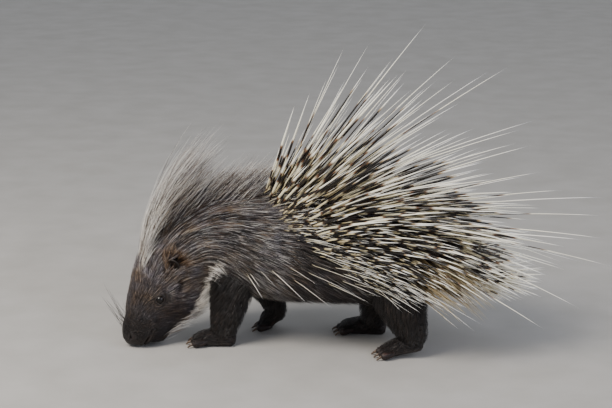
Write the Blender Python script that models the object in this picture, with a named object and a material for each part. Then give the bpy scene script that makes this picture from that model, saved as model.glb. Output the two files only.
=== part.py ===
"""A crested porcupine in life size, walking with its head low: the solids of its body, coat and quills.

Metres, +Z up. The animal faces -X and its left side faces -Y. The soles stand on Z = 0.
"""

import itertools
import math
import random

import bmesh
import bpy
from mathutils import Matrix, Vector
from mathutils.bvhtree import BVHTree

# The point of the modelling frame that becomes the origin: on the floor, under the outline's middle.
FLOOR_POINT = Vector((0.1025, 0.000, 0.0))

# Touching nodes keep this gap.
GAP = 0.0003
SEED = 7
UP = Vector((0.0, 0.0, 1.0))
ACROSS = Vector((0.0, 1.0, 0.0))

# The trunk from the tail's tip to the nose, one row for each station:
# centre x, y, z, turn of the section to the left in degrees, half width, height above the centre,
# depth below it, and the depth of the coat's dense core over the skin.
TRUNK = (
    (0.400, 0.000, 0.148, 0, 0.010, 0.008, 0.008, 0.003),
    (0.345, 0.000, 0.158, 0, 0.024, 0.020, 0.018, 0.005),
    (0.295, 0.000, 0.170, 0, 0.042, 0.038, 0.034, 0.007),
    (0.245, 0.000, 0.182, 0, 0.080, 0.070, 0.062, 0.008),
    (0.185, 0.000, 0.190, 0, 0.104, 0.090, 0.084, 0.009),
    (0.115, 0.000, 0.194, 0, 0.112, 0.096, 0.090, 0.010),
    (0.040, 0.000, 0.196, 0, 0.114, 0.097, 0.092, 0.012),
    (-0.035, 0.000, 0.199, 0, 0.108, 0.094, 0.090, 0.014),
    (-0.105, 0.000, 0.206, 0, 0.092, 0.086, 0.086, 0.014),
    (-0.160, -0.005, 0.207, 3, 0.076, 0.078, 0.080, 0.012),
    (-0.205, -0.013, 0.191, 6, 0.066, 0.074, 0.072, 0.010),
    (-0.240, -0.024, 0.160, 10, 0.060, 0.074, 0.071, 0.007),
    (-0.261, -0.040, 0.122, 15, 0.055, 0.073, 0.073, 0.005),
    (-0.275, -0.054, 0.095, 18, 0.050, 0.066, 0.068, 0.004),
    (-0.288, -0.068, 0.070, 20, 0.042, 0.056, 0.058, 0.003),
    (-0.300, -0.079, 0.043, 20, 0.036, 0.045, 0.047, 0.002),
    (-0.308, -0.087, 0.027, 20, 0.033, 0.040, 0.043, 0.001),
    (-0.312, -0.091, 0.014, 20, 0.028, 0.033, 0.032, 0.001),
    (-0.312, -0.092, 0.005, 20, 0.018, 0.022, 0.020, 0.001),
)
# Places on the trunk, in stations from the tail's tip.
TAIL_CUT, NECK_CUT, HEAD_CUT = 2.35, 8.9, 10.9
EAR_PLACE, EYE_PLACE, NOSTRIL_PLACE, MOUTH_PLACE = 11.4, 13.5, 16.9, 16.0
TRUNK_SIDES = 24
# The trunk's nodes: where each starts and ends, and its rings to a station.
SHORT = 0.008
TRUNK_NODES = {
    "tail": (0.0, TAIL_CUT - SHORT, 1.3),
    "torso": (TAIL_CUT + SHORT, NECK_CUT - SHORT, 1.5),
    "neck": (NECK_CUT + SHORT, HEAD_CUT - SHORT, 1.6),
    "head": (HEAD_CUT + SHORT, len(TRUNK) - 1, 1.7),
}

# Legs from inside the trunk to the sole's heel: centre x, y, z, turn, half width, thickness in front and
# behind, and the coat's depth. y is the distance from the middle.
FORELEG_LEFT = (
    (-0.116, 0.046, 0.185, 0, 0.036, 0.046, 0.046, 0.006),
    (-0.126, 0.054, 0.135, 0, 0.034, 0.042, 0.040, 0.006),
    (-0.136, 0.058, 0.092, 0, 0.028, 0.034, 0.034, 0.005),
    (-0.143, 0.058, 0.058, 0, 0.024, 0.028, 0.029, 0.004),
    (-0.148, 0.058, 0.032, 0, 0.021, 0.024, 0.024, 0.003),
    (-0.150, 0.058, 0.016, 0, 0.020, 0.022, 0.021, 0.002),
    (-0.150, 0.058, 0.008, 0, 0.015, 0.016, 0.015, 0.001),
)
FORELEG_RIGHT = (
    (-0.112, 0.046, 0.185, 0, 0.036, 0.046, 0.046, 0.006),
    (-0.104, 0.054, 0.135, 0, 0.034, 0.040, 0.040, 0.006),
    (-0.090, 0.058, 0.098, 0, 0.028, 0.032, 0.032, 0.005),
    (-0.074, 0.058, 0.068, 0, 0.022, 0.024, 0.025, 0.004),
    (-0.066, 0.058, 0.044, 0, 0.019, 0.020, 0.020, 0.003),
    (-0.068, 0.058, 0.030, 0, 0.018, 0.018, 0.018, 0.002),
    (-0.070, 0.058, 0.022, 0, 0.013, 0.013, 0.013, 0.001),
)
HINDLEG_LEFT = (
    (0.184, 0.058, 0.195, 0, 0.042, 0.062, 0.056, 0.006),
    (0.197, 0.070, 0.145, 0, 0.042, 0.054, 0.050, 0.006),
    (0.209, 0.071, 0.103, 0, 0.035, 0.045, 0.043, 0.005),
    (0.221, 0.068, 0.067, 0, 0.027, 0.034, 0.033, 0.004),
    (0.229, 0.066, 0.044, 0, 0.023, 0.027, 0.026, 0.003),
    (0.230, 0.066, 0.030, 0, 0.021, 0.024, 0.021, 0.002),
    (0.230, 0.066, 0.022, 0, 0.016, 0.017, 0.015, 0.001),
)
HINDLEG_RIGHT = (
    (0.176, 0.058, 0.195, 0, 0.042, 0.060, 0.056, 0.006),
    (0.162, 0.070, 0.145, 0, 0.042, 0.052, 0.050, 0.006),
    (0.148, 0.071, 0.103, 0, 0.034, 0.042, 0.042, 0.005),
    (0.138, 0.068, 0.067, 0, 0.026, 0.031, 0.032, 0.004),
    (0.133, 0.066, 0.038, 0, 0.022, 0.025, 0.025, 0.003),
    (0.131, 0.066, 0.019, 0, 0.021, 0.023, 0.020, 0.002),
    (0.131, 0.066, 0.009, 0, 0.016, 0.017, 0.014, 0.001),
)
LEG_SIDES = 12

# Each foot: the leg above it, the sole's heel and ball on the floor (x, y), the heel's lift, how many toes.
FEET = {
    "leg_front_left": (FORELEG_LEFT, (-0.133, -0.058), (-0.199, -0.062), 0.000, 4),
    "leg_front_right": (FORELEG_RIGHT, (-0.064, 0.058), (-0.091, 0.059), 0.022, 4),
    "leg_hind_left": (HINDLEG_LEFT, (0.240, -0.066), (0.174, -0.070), 0.016, 5),
    "leg_hind_right": (HINDLEG_RIGHT, (0.149, 0.066), (0.074, 0.068), 0.000, 5),
}
# The sole from heel to ball: fraction of the way, height of its middle, half width, above, below.
SOLE = (
    (-0.12, 0.011, 0.009, 0.007, 0.009),
    (0.00, 0.012, 0.018, 0.014, 0.014),
    (0.45, 0.012, 0.021, 0.019, 0.014),
    (0.90, 0.010, 0.024, 0.014, 0.012),
    (1.12, 0.008, 0.020, 0.007, 0.009),
)
SOLE_SIDES = 8
BALL_SHARE = 0.9
TOE_RADIUS = 0.0080
TOE_LENGTH = 0.020
TOE_SPREAD = math.radians(12)
CLAW_LENGTH = 0.011
CLAW_RADIUS = 0.0030
TOE_CLEAR = 0.0005

# Eyes, lids, nostrils, mouth and ears, placed on the trunk by their angle from the middle of the back.
EYE_ANGLE, EYE_RADIUS, EYE_SUNK = math.radians(82), 0.0088, 0.0055
LID_RADII, LID_THICKNESS, LID_PROUD = (0.0105, 0.0080), 0.0024, 0.0002
NOSTRIL_ANGLE, NOSTRIL_RADII = math.radians(52), (0.0050, 0.0016, 0.0040)
NOSTRIL_RIM = (0.0080, 0.0050, 0.0035)
MOUTH_DROP, MOUTH_REACH, MOUTH_SLOT, MOUTH_DEPTH = 0.010, 0.036, 0.0012, 0.004
MOUTH_AHEAD, MOUTH_WIDE = 0.010, 0.12
LIP_THICKNESS, LIP_PROUD = 0.0080, 0.0022
MOUTH_SIDES = 12
EAR_ANGLE = math.radians(79)
EAR_RADII, EAR_HOLLOW, EAR_LEAN = (0.0165, 0.0125, 0.0060), (0.0130, 0.0090, 0.0060), 0.0055
EAR_FORWARD, EAR_PROUD = 0.75, 0.006

# The long feelers of the muzzle, on both sides: the root's place and angle, the rise of the feeler over the
# horizontal and its turn outwards from the head's own line in degrees, and its length.
FEELERS = (
    (16.7, 48, 66, 4, 0.084),
    (16.5, 66, 44, 16, 0.086),
    (16.2, 54, 58, 12, 0.092),
    (16.0, 74, 32, 34, 0.082),
    (15.5, 78, 24, 52, 0.070),
)
FEELER_RADIUS, FEELER_CURL = 0.0006, 0.16

# The quills stand on the back, flanks and rump. At the root's x: angle above the horizontal over the back,
# the same low on the flank, and the length of a full quill over the back.
QUILL_LIE = (
    (-0.095, 76, 40, 0.230),
    (-0.060, 69, 28, 0.310),
    (-0.020, 59, 18, 0.370),
    (0.030, 46, 10, 0.370),
    (0.080, 33, 3, 0.340),
    (0.140, 20, -4, 0.310),
    (0.200, 9, -12, 0.290),
    (0.250, 0, -18, 0.270),
    (0.290, -9, -23, 0.250),
)
# The front edge of the quills: their root's x at an angle round the body from the middle of the back.
QUILL_EDGE = ((0, -0.095), (30, -0.072), (60, -0.008), (72, 0.035), (90, 0.090), (112, 0.160), (125, 0.200))
QUILL_LOWEST = 112
QUILL_ROW, QUILL_SPACING = 0.0225, 0.0275
QUILL_ROOT_RADIUS, QUILL_RADIUS = 0.0018, 0.0026
QUILL_DROOP = (0.02, 0.06)
QUILL_FAN = 0.55
FLANK_SHARE = 0.55
QUILL_LAST = 0.292
# The longest thin quills: root's x, angle round the body, rise in degrees, length.
LONG_QUILLS = (
    (-0.052, 4, 68, 0.330),
    (-0.040, -14, 64, 0.340),
    (-0.030, 12, 60, 0.300),
    (-0.012, -6, 56, 0.430),
    (0.000, 16, 54, 0.360),
    (0.012, -20, 47, 0.400),
    (0.022, 6, 40, 0.440),
    (0.034, -9, 38, 0.450),
    (0.052, 20, 33, 0.350),
    (0.060, 2, 26, 0.430),
    (0.085, 28, 20, 0.330),
    (0.130, -12, 22, 0.330),
    (0.175, 10, 20, 0.300),
    (0.215, -4, 9, 0.360),
    (0.235, 24, 5, 0.350),
    (0.240, -28, 3, 0.340),
    (0.262, 12, -5, 0.330),
    (0.262, 44, -13, 0.300),
    (0.262, -46, -14, 0.300),
    (0.236, 72, -17, 0.290),
    (0.236, -74, -17, 0.290),
)
LONG_RADIUS, LONG_DROOP = 0.0019, 0.06
# Thin pale guard quills low on both flanks: root's x, angle round the body, rise, length.
GUARD_QUILLS = (
    (-0.095, 112, -46, 0.070),
    (-0.045, 100, -29, 0.110),
    (-0.005, 108, -22, 0.115),
    (0.023, 90, -5, 0.220),
    (0.062, 112, -10, 0.110),
    (0.113, 112, 0, 0.100),
    (0.149, 118, -18, 0.110),
    (0.187, 99, -14, 0.220),
    (0.221, 122, -26, 0.135),
)
GUARD_RADIUS, GUARD_DROOP = 0.0016, 0.05
# Quills of the tail: each ring's x, how many it has, their spread from the tail's line and their length.
TAIL_QUILLS = ((0.312, 6, 20, 0.085), (0.342, 5, 16, 0.085), (0.370, 5, 13, 0.085))
TAIL_QUILL_RADIUS, TAIL_SAG = 0.0024, 0.12

# The crest of long bristles: root's place on the trunk, rise at the root, rise at the tip, length.
CREST_LIE = (
    (8.2, 50, 40, 0.115),
    (9.0, 54, 42, 0.110),
    (9.8, 60, 46, 0.130),
    (10.5, 70, 46, 0.215),
    (11.2, 78, 42, 0.280),
    (11.7, 86, 42, 0.285),
)
CREST_ANGLES = (-32, -16, 0, 16, 32)
CREST_ROW, CREST_FAN, CREST_SEGMENTS = 0.40, 0.32, 3
CREST_HALF_WIDTH, CREST_HALF_THICKNESS = 0.0052, 0.0016

# The bristly coat of neck, shoulders, flanks and belly, in locks that lie over one another.
COAT_ROW, COAT_SPACING = 0.042, 0.035
COAT_LENGTH, COAT_HALF_WIDTH, COAT_HALF_THICKNESS = 0.084, 0.0145, 0.0024
COAT_LIFT = 0.012
COAT_FIRST, COAT_LAST = 10.7, 3.4
COAT_TOP, COAT_BOTTOM = 40, 178
COAT_SEGMENTS = 2
LOCK_CLEAR = 0.0008
LOCK_BALL = 0.0026
TIP_RADIUS = 0.0005
ROOT_DEPTH = 0.008
# How often a piece that would cross another is drawn again before it is left out.
TRIES = 3


def cleared_scene():
    """Removes what the scene holds."""
    for old in list(bpy.data.objects):
        bpy.data.objects.remove(old)


def material(name, colour, roughness):
    """A plain dielectric finish for one kind of part."""
    made = bpy.data.materials.new(name)
    made.use_nodes = True
    shader = made.node_tree.nodes["Principled BSDF"]
    shader.inputs["Base Color"].default_value = (*colour, 1.0)
    shader.inputs["Roughness"].default_value = roughness
    shader.inputs["Metallic"].default_value = 0.0
    return made


def new_object(name, bm, finish=None):
    """A mesh object made from a bmesh, with its faces turned outwards."""
    bmesh.ops.recalc_face_normals(bm, faces=bm.faces)
    mesh = bpy.data.meshes.new(name)
    bm.to_mesh(mesh)
    bm.free()
    made = bpy.data.objects.new(name, mesh)
    bpy.context.scene.collection.objects.link(made)
    if finish:
        mesh.materials.append(finish)
    return made


def row_at(rows, place):
    """The values of a table of stations at any place along it, on a smooth curve through its rows."""
    last = len(rows) - 1
    place = min(max(place, 0.0), last - 1e-6)
    first = int(place)
    t = place - first
    p, q, r, w = (rows[min(max(first + k, 0), last)] for k in (-1, 0, 1, 2))
    return [
        0.5 * (2 * b + (c - a) * t + (2 * a - 5 * b + 4 * c - d) * t * t + (3 * b - a - 3 * c + d) * t**3)
        for a, b, c, d in zip(p, q, r, w)
    ]


def section_at(rows, place):
    """The centre, the forward, left and up axes and the values at a place along a table of stations."""
    step = 0.02
    here = row_at(rows, place)
    ahead = row_at(rows, place + step)
    behind = row_at(rows, place - step)
    forward = (Vector(ahead[:3]) - Vector(behind[:3])).normalized()
    turn = math.radians(here[3])
    left = Vector((math.sin(turn), -math.cos(turn), 0.0))
    left = (left - forward * left.dot(forward)).normalized()
    return Vector(here[:3]), forward, left, forward.cross(left), here


def surface_at(rows, place, angle, lift=0.0):
    """The point of a body's surface at an angle from its back towards its left side, raised by lift."""
    centre, _, left, up, here = section_at(rows, place)
    depth = here[7] + lift
    tall = (here[5] if math.cos(angle) > 0 else here[6]) + depth
    return centre + left * math.sin(angle) * (here[4] + depth) + up * math.cos(angle) * tall


def normal_at(rows, place, angle):
    """The outward direction of a body's surface."""
    along = surface_at(rows, place + 0.05, angle) - surface_at(rows, place - 0.05, angle)
    around = surface_at(rows, place, angle + 0.05) - surface_at(rows, place, angle - 0.05)
    return along.cross(around).normalized()


def lofted(rows, places, sides, lift=0.0):
    """A closed bmesh through rings at the given places of a table of stations."""
    bm = bmesh.new()
    loops = []
    for place in places:
        ring = bmesh.ops.create_circle(bm, segments=sides, radius=1.0)["verts"]
        for k, vert in enumerate(ring):
            vert.co = surface_at(rows, place, 2 * math.pi * k / sides, lift)
        loops.append({edge for vert in ring for edge in vert.link_edges})
    for one, other in zip(loops, loops[1:]):
        bmesh.ops.bridge_loops(bm, edges=list(one | other))
    for loop in (loops[0], loops[-1]):
        bmesh.ops.holes_fill(bm, edges=list(loop), sides=0)
    bmesh.ops.recalc_face_normals(bm, faces=bm.faces)
    bmesh.ops.triangulate(bm, faces=bm.faces, quad_method="FIXED")
    return bm


def places_between(first, last, per_station):
    """Evenly spaced places from one station to another."""
    count = max(2, round((last - first) * per_station) + 1)
    return [first + (last - first) * k / (count - 1) for k in range(count)]


def trunk_part(first, last, lift, per_station):
    """A length of the trunk."""
    return lofted(TRUNK, places_between(first, last, per_station), TRUNK_SIDES, lift)


def trunk_cutters(*names):
    """Copies of trunk nodes, grown by the gap and closed over the cuts between them."""
    cutters = []
    for name in names:
        places = places_between(*TRUNK_NODES[name])
        places[0] -= 2 * SHORT
        places[-1] += 2 * SHORT
        cutters.append(new_object(name + "_cutter", lofted(TRUNK, places, TRUNK_SIDES, GAP)))
    return cutters


def applied(node):
    """Replaces an object's mesh by what its modifiers make of it."""
    graph = bpy.context.evaluated_depsgraph_get()
    mesh = bpy.data.meshes.new_from_object(node.evaluated_get(graph))
    node.modifiers.clear()
    node.data = mesh
    return node


def largest_body(node):
    """Keeps only the largest closed surface of a node."""
    bm = bmesh.new()
    bm.from_mesh(node.data)
    bmesh.ops.triangulate(bm, faces=bm.faces)
    bodies, seen = [], set()
    for start in bm.faces:
        if start in seen:
            continue
        body, waiting = [], [start]
        seen.add(start)
        while waiting:
            face = waiting.pop()
            body.append(face)
            for edge in face.edges:
                for near in edge.link_faces:
                    if near not in seen:
                        seen.add(near)
                        waiting.append(near)
        bodies.append(body)
    bodies.sort(key=lambda body: -sum(face.calc_area() for face in body))
    scraps = [face for body in bodies[1:] for face in body]
    bmesh.ops.delete(bm, geom=scraps, context="FACES")
    bm.to_mesh(node.data)
    bm.free()
    return node


def combined(node, pieces, operation):
    """Joins closed pieces to a node, or cuts them from it, in one Boolean, and removes them."""
    group = bpy.data.collections.new(node.name + "_pieces")
    bpy.context.scene.collection.children.link(group)
    for piece in pieces:
        bpy.context.scene.collection.objects.unlink(piece)
        group.objects.link(piece)
    boolean = node.modifiers.new(operation.lower(), "BOOLEAN")
    boolean.operation = operation
    boolean.operand_type = "COLLECTION"
    boolean.collection = group
    boolean.solver = "EXACT"
    applied(node)
    for piece in pieces:
        bpy.data.objects.remove(piece)
    bpy.data.collections.remove(group)
    return largest_body(node)


def joined(node, pieces):
    """A node with closed pieces fused to it."""
    return combined(node, pieces, "UNION")


def cut(node, cutters):
    """A node with the cutters' shapes taken away."""
    return combined(node, cutters, "DIFFERENCE")


def ball(name, centre, radii, axes=None, rings=8, sides=12):
    """An ellipsoid, its radii along the given axes."""
    bm = bmesh.new()
    bmesh.ops.create_uvsphere(bm, u_segments=sides, v_segments=rings, radius=1.0)
    turn = Matrix(axes).transposed().to_4x4() if axes else Matrix.Identity(4)
    shape = Matrix.Translation(centre) @ turn @ Matrix.Diagonal((*radii, 1.0))
    bmesh.ops.transform(bm, matrix=shape, verts=bm.verts)
    return new_object(name, bm)


def spike(name, points, wide, thick, sides, across):
    """A tapered closed piece with a sharp tip: a quill if round, a lock of hair if flat.

    wide and thick are its half sizes at every point but the last; across is the direction of its width.
    """
    bm = bmesh.new()
    rings = []
    for k, point in enumerate(points[:-1]):
        along = (points[k + 1] - points[max(k - 1, 0)]).normalized()
        side = (across - along * across.dot(along)).normalized()
        face = along.cross(side)
        ring = []
        for j in range(sides):
            turn = 2 * math.pi * j / sides
            corner = side * wide[k] * math.cos(turn) + face * thick[k] * math.sin(turn)
            ring.append(bm.verts.new(point + corner))
        rings.append(ring)
    tip = bm.verts.new(points[-1])
    bm.faces.new(reversed(rings[0]))
    for one, other in zip(rings, rings[1:]):
        for j in range(sides):
            n = (j + 1) % sides
            bm.faces.new((one[j], one[n], other[n]))
            bm.faces.new((one[j], other[n], other[j]))
    for j in range(sides):
        bm.faces.new((rings[-1][j], rings[-1][(j + 1) % sides], tip))
    return new_object(name, bm)


def mirrored(rows):
    """A leg's stations on the animal's left side, where y is negative."""
    return tuple((row[0], -row[1], *row[2:]) for row in rows)


def block(name, low, high):
    """A box between two corners."""
    bm = bmesh.new()
    size = Vector(high) - Vector(low)
    shape = Matrix.Translation((Vector(high) + Vector(low)) / 2) @ Matrix.Diagonal((*size, 1.0))
    bmesh.ops.create_cube(bm, size=1.0, matrix=shape)
    return new_object(name, bm)


def plate(name, centre, axes, size):
    """A box turned to the given axes."""
    bm = bmesh.new()
    turn = Matrix(axes).transposed().to_4x4()
    shape = Matrix.Translation(centre) @ turn @ Matrix.Diagonal((*size, 1.0))
    bmesh.ops.create_cube(bm, size=1.0, matrix=shape)
    return new_object(name, bm)


def ring_tube(name, centre, axes, radii, thickness, sides=4, steps=12):
    """A closed oval ring of round section, lying in the plane of its first two axes."""
    bm = bmesh.new()
    place = Matrix.Translation((1.0, 0.0, 0.0)) @ Matrix.Rotation(math.pi / 2, 4, "X")
    bmesh.ops.create_circle(bm, segments=sides, radius=thickness / radii[1], matrix=place)
    bmesh.ops.spin(
        bm, geom=bm.verts[:] + bm.edges[:], cent=(0, 0, 0), axis=(0, 0, 1), angle=2 * math.pi, steps=steps,
        use_merge=True,
    )
    bmesh.ops.remove_doubles(bm, verts=bm.verts, dist=1e-6)
    turn = Matrix(axes).transposed().to_4x4()
    shape = Matrix.Translation(centre) @ turn @ Matrix.Diagonal((radii[0], radii[1], radii[1], 1.0))
    bmesh.ops.transform(bm, matrix=shape, verts=bm.verts)
    return new_object(name, bm)


def face_axes(place, angle):
    """Axes on the trunk's surface: along the trunk towards the nose, across it, and outwards."""
    out = normal_at(TRUNK, place, angle)
    along = section_at(TRUNK, place)[1]
    along = (along - out * along.dot(out)).normalized()
    return along, out.cross(along), out


def foot(name, heel, ball, lift, toes):
    """The closed pieces of a foot: its sole, toes and claws, as if sunk a little into the floor."""
    heel, ball = Vector((*heel, 0.0)), Vector((*ball, 0.0))
    ahead = (ball - heel).normalized()
    turn = math.degrees(math.atan2(-ahead.y, -ahead.x))
    rows = []
    for share, height, wide, above, below in SOLE:
        point = heel.lerp(ball, share)
        raised = lift * max(0.0, BALL_SHARE - share)
        rows.append((point.x, point.y, height + raised, turn, wide, above, below, 0.0))
    pieces = [new_object(name + "_sole", lofted(rows, places_between(0, len(rows) - 1, 1.0), SOLE_SIDES))]
    across = Vector((ahead.y, -ahead.x, 0.0))
    for k in range(toes):
        offset = k - (toes - 1) / 2
        yaw = -offset * TOE_SPREAD
        aim = Matrix.Rotation(yaw, 3, "Z") @ ahead
        side = Matrix.Rotation(yaw, 3, "Z") @ across
        root = ball + across * offset * 2.1 * TOE_RADIUS * 4 / toes - ahead * (0.004 + 0.003 * abs(offset))
        length = TOE_LENGTH * (1.0 - 0.12 * abs(offset))
        spine = [
            root + UP * 0.0090,
            root + aim * 0.55 * length + UP * (TOE_RADIUS + TOE_CLEAR),
            root + aim * length + UP * (0.75 * TOE_RADIUS + TOE_CLEAR),
            root + aim * (length + 0.004) + UP * 0.0050,
            root + aim * (length + CLAW_LENGTH) + UP * 0.0010,
        ]
        radii = [TOE_RADIUS * 0.9, TOE_RADIUS, TOE_RADIUS * 0.75, CLAW_RADIUS]
        pieces.append(spike(name + "_toe", spine, radii, radii, 5, side))
    return pieces


def build_leg(name, finish):
    """One leg with its foot, cut flat on the floor and clear of the trunk by the gap."""
    rows, heel, ball, lift, toes = FEET[name]
    if name.endswith("left"):
        rows = mirrored(rows)
    leg = new_object(name, lofted(rows, places_between(0, len(rows) - 1, 1.2), LEG_SIDES), finish)
    joined(leg, foot(name, heel, ball, lift, toes))
    floor = block("floor_cutter", (-1, -1, -0.1), (1, 1, 0.0))
    return cut(leg, [floor, *trunk_cutters("torso", "neck")])


def build_eye(name, side, finish):
    """An eyeball, its centre sunk under the skin."""
    axes = face_axes(EYE_PLACE, side * EYE_ANGLE)
    centre = surface_at(TRUNK, EYE_PLACE, side * EYE_ANGLE) - axes[2] * EYE_SUNK
    eye = ball(name, centre, (EYE_RADIUS,) * 3, axes, 6, 10)
    eye.data.materials.append(finish)
    return eye


def eye_features(side):
    """The raised lid ring round an eye, and the socket to be cut for the eyeball."""
    axes = face_axes(EYE_PLACE, side * EYE_ANGLE)
    skin = surface_at(TRUNK, EYE_PLACE, side * EYE_ANGLE)
    lid = ring_tube("lid", skin + axes[2] * LID_PROUD, axes, LID_RADII, LID_THICKNESS)
    socket = ball("socket", skin - axes[2] * EYE_SUNK, (EYE_RADIUS + GAP,) * 3, axes, 6, 10)
    return lid, socket


def nostril_features(side):
    """The soft rim of a nostril, and the slit to be cut in it."""
    angle = side * NOSTRIL_ANGLE
    axes = face_axes(NOSTRIL_PLACE, angle)
    skin = surface_at(TRUNK, NOSTRIL_PLACE, angle)
    rim = ball("nostril_rim", skin, NOSTRIL_RIM, axes, 5, 8)
    slit = ball("nostril_slit", skin + axes[2] * NOSTRIL_RIM[2], NOSTRIL_RADII, axes, 4, 6)
    return rim, slit


def mouth_features():
    """The lips, a low band round the muzzle, and the line of the mouth to be cut in them."""
    centre, forward, left, up, _ = section_at(TRUNK, MOUTH_PLACE)
    middle = centre - up * MOUTH_DROP + forward * MOUTH_AHEAD
    size = (2 * MOUTH_REACH, MOUTH_WIDE)
    lips = plate("lips", middle, (forward, left, up), (*size, LIP_THICKNESS))
    last = len(TRUNK) - 1
    outer = lofted(TRUNK, places_between(14.5, last, 1.2), MOUTH_SIDES, LIP_PROUD)
    muzzle = new_object("muzzle_outer", outer)
    combined(lips, [muzzle], "INTERSECT")
    line = plate("mouth_line", middle, (forward, left, up), (*size, MOUTH_SLOT))
    inner = lofted(TRUNK, places_between(13.5, last, 1.0), MOUTH_SIDES, -MOUTH_DEPTH)
    return lips, cut(line, [new_object("muzzle_inner", inner)])


def build_head(finish):
    """The head from the back of the skull to the nose, with lids, nostrils, lips and mouth."""
    head = new_object("head", trunk_part(*TRUNK_NODES["head"][:2], 0.0, TRUNK_NODES["head"][2]), finish)
    added, removed = [], []
    for side in (1, -1):
        lid, socket = eye_features(side)
        rim, slit = nostril_features(side)
        added += [lid, rim]
        removed += [socket, slit]
    lips, line = mouth_features()
    joined(head, added + [lips])
    return cut(head, removed + [line])


def build_ear(name, side, finish):
    """A small round ear, hollowed into a cup that opens forwards and out, its root against the head."""
    angle = side * EAR_ANGLE
    along, across, out = face_axes(EAR_PLACE, angle)
    tall = (out - along * EAR_FORWARD).normalized()
    wide = across * side
    thin = tall.cross(wide)
    if thin.dot(along) < 0:
        thin = -thin
    centre = surface_at(TRUNK, EAR_PLACE, angle) + tall * EAR_PROUD
    ear = ball(name, centre, EAR_RADII, (tall, wide, thin), 7, 12)
    ear.data.materials.append(finish)
    hollow = ball("ear_hollow", centre + thin * EAR_LEAN, EAR_HOLLOW, (tall, wide, thin), 6, 10)
    return cut(ear, [hollow, *trunk_cutters("head", "neck")])


def between(rows, key):
    """The values of a table at a key, in straight lines between its rows, whose first column rises."""
    key = min(max(key, rows[0][0]), rows[-1][0])
    for low, high in zip(rows, rows[1:]):
        if key <= high[0]:
            share = (key - low[0]) / (high[0] - low[0])
            return [a + (b - a) * share for a, b in zip(low[1:], high[1:])]
    return list(rows[-1][1:])


def place_of(x):
    """The place on the trunk whose centre has this x."""
    low, high = 0.0, 12.0
    for _ in range(30):
        middle = (low + high) / 2
        if row_at(TRUNK, middle)[0] > x:
            low = middle
        else:
            high = middle
    return low


class Clearance:
    """Keeps what is already placed, so that a new quill or lock can be tested against it."""

    CELL = 0.014

    def __init__(self):
        self.balls = {}
        self.bodies = {}

    def add_body(self, node):
        """Takes in a node's core."""
        bm = bmesh.new()
        bm.from_mesh(node.data)
        self.bodies[node.name] = BVHTree.FromBMesh(bm)
        bm.free()

    def clear_of_bodies(self, node, centre, radius):
        """Whether a ball keeps clear of the other nodes' cores."""
        for name, tree in self.bodies.items():
            if name != node and tree.find_nearest(centre, radius + LOCK_CLEAR)[0]:
                return False
        return True

    def cell(self, point):
        """The grid cell of a point."""
        return tuple(int(math.floor(value / self.CELL)) for value in point)

    def near(self, point):
        """The balls in the cells round a point."""
        home = self.cell(point)
        for dx, dy, dz in itertools.product((-1, 0, 1), repeat=3):
            yield from self.balls.get((home[0] + dx, home[1] + dy, home[2] + dz), ())

    def free(self, node, kind, balls):
        """Whether balls along a new piece keep clear of other nodes, and of quills if it is one."""
        for centre, radius in balls:
            if centre.z < radius + LOCK_CLEAR:
                return False
            if not self.clear_of_bodies(node, centre, radius):
                return False
            for other, size, owner, sort in self.near(centre):
                if owner == node and (kind == "lock" or sort == "lock"):
                    continue
                if (other - centre).length < radius + size + LOCK_CLEAR:
                    return False
        return True

    def add(self, node, kind, balls):
        """Takes in a placed piece."""
        for centre, radius in balls:
            self.balls.setdefault(self.cell(centre), []).append((centre, radius, node, kind))


def balls_along(points, wide, across, flat, step=0.003):
    """Balls that cover a tapered piece from the skin to its tip; a flat one has several side by side."""
    balls = []
    sizes = list(wide) + [TIP_RADIUS]
    for k in range(len(points) - 1):
        start, end = points[k], points[k + 1]
        count = max(1, round((end - start).length / step))
        along = (end - start).normalized()
        side = (across - along * across.dot(along)).normalized()
        for j in range(count):
            share = (j + 0.5) / count
            centre = start.lerp(end, share)
            width = sizes[k] * (1 - share) + sizes[k + 1] * share
            if not flat:
                balls.append((centre, width))
                continue
            count_across = max(1, math.ceil(width / LOCK_BALL))
            for m in range(-count_across, count_across + 1):
                balls.append((centre + side * (width * m / count_across), LOCK_BALL))
    return balls


def quill_aim(x, angle):
    """The rise and the full length of a quill rooted at x, at an angle in degrees round the body."""
    top, low, length = between(QUILL_LIE, x)
    share = min(abs(angle) / 100.0, 1.0)
    return top + (low - top) * share, length * (1.0 - FLANK_SHARE * share**1.5)


def quill_points(x, angle, rise, length, droop, segments):
    """The middle line of a quill from under the skin to its tip."""
    place, around = place_of(x), math.radians(angle)
    root = surface_at(TRUNK, place, around)
    rise = math.radians(rise)
    aim = Vector((math.cos(rise), -math.sin(around) * QUILL_FAN, math.sin(rise)))
    aim = aim.normalized()
    out = normal_at(TRUNK, place, around)
    points = [root - (aim * 0.6 + out * 0.8).normalized() * ROOT_DEPTH]
    for k in range(segments):
        share = (k + 1) / segments
        points.append(root + aim * length * share - UP * droop * length * share**2)
    return points


def laid_quill(clearance, node, points, radius, kept):
    """Adds a quill to a node's pieces if it stays clear of all others."""
    count = len(points) - 1
    sizes = [QUILL_ROOT_RADIUS] + [radius * (1.0 - 0.45 * k / count) for k in range(1, count)]
    balls = balls_along(points, sizes, ACROSS, False)
    if not all(clearance.clear_of_bodies(node, centre, radius) for centre, radius in balls):
        return False
    balls = [(centre, size) for centre, size in balls if outside(centre, node)]
    if not clearance.free(node, "quill", balls):
        return False
    clearance.add(node, "quill", balls)
    kept.setdefault(node, []).append(("quill", points, sizes, sizes, ACROSS))
    return True


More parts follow.
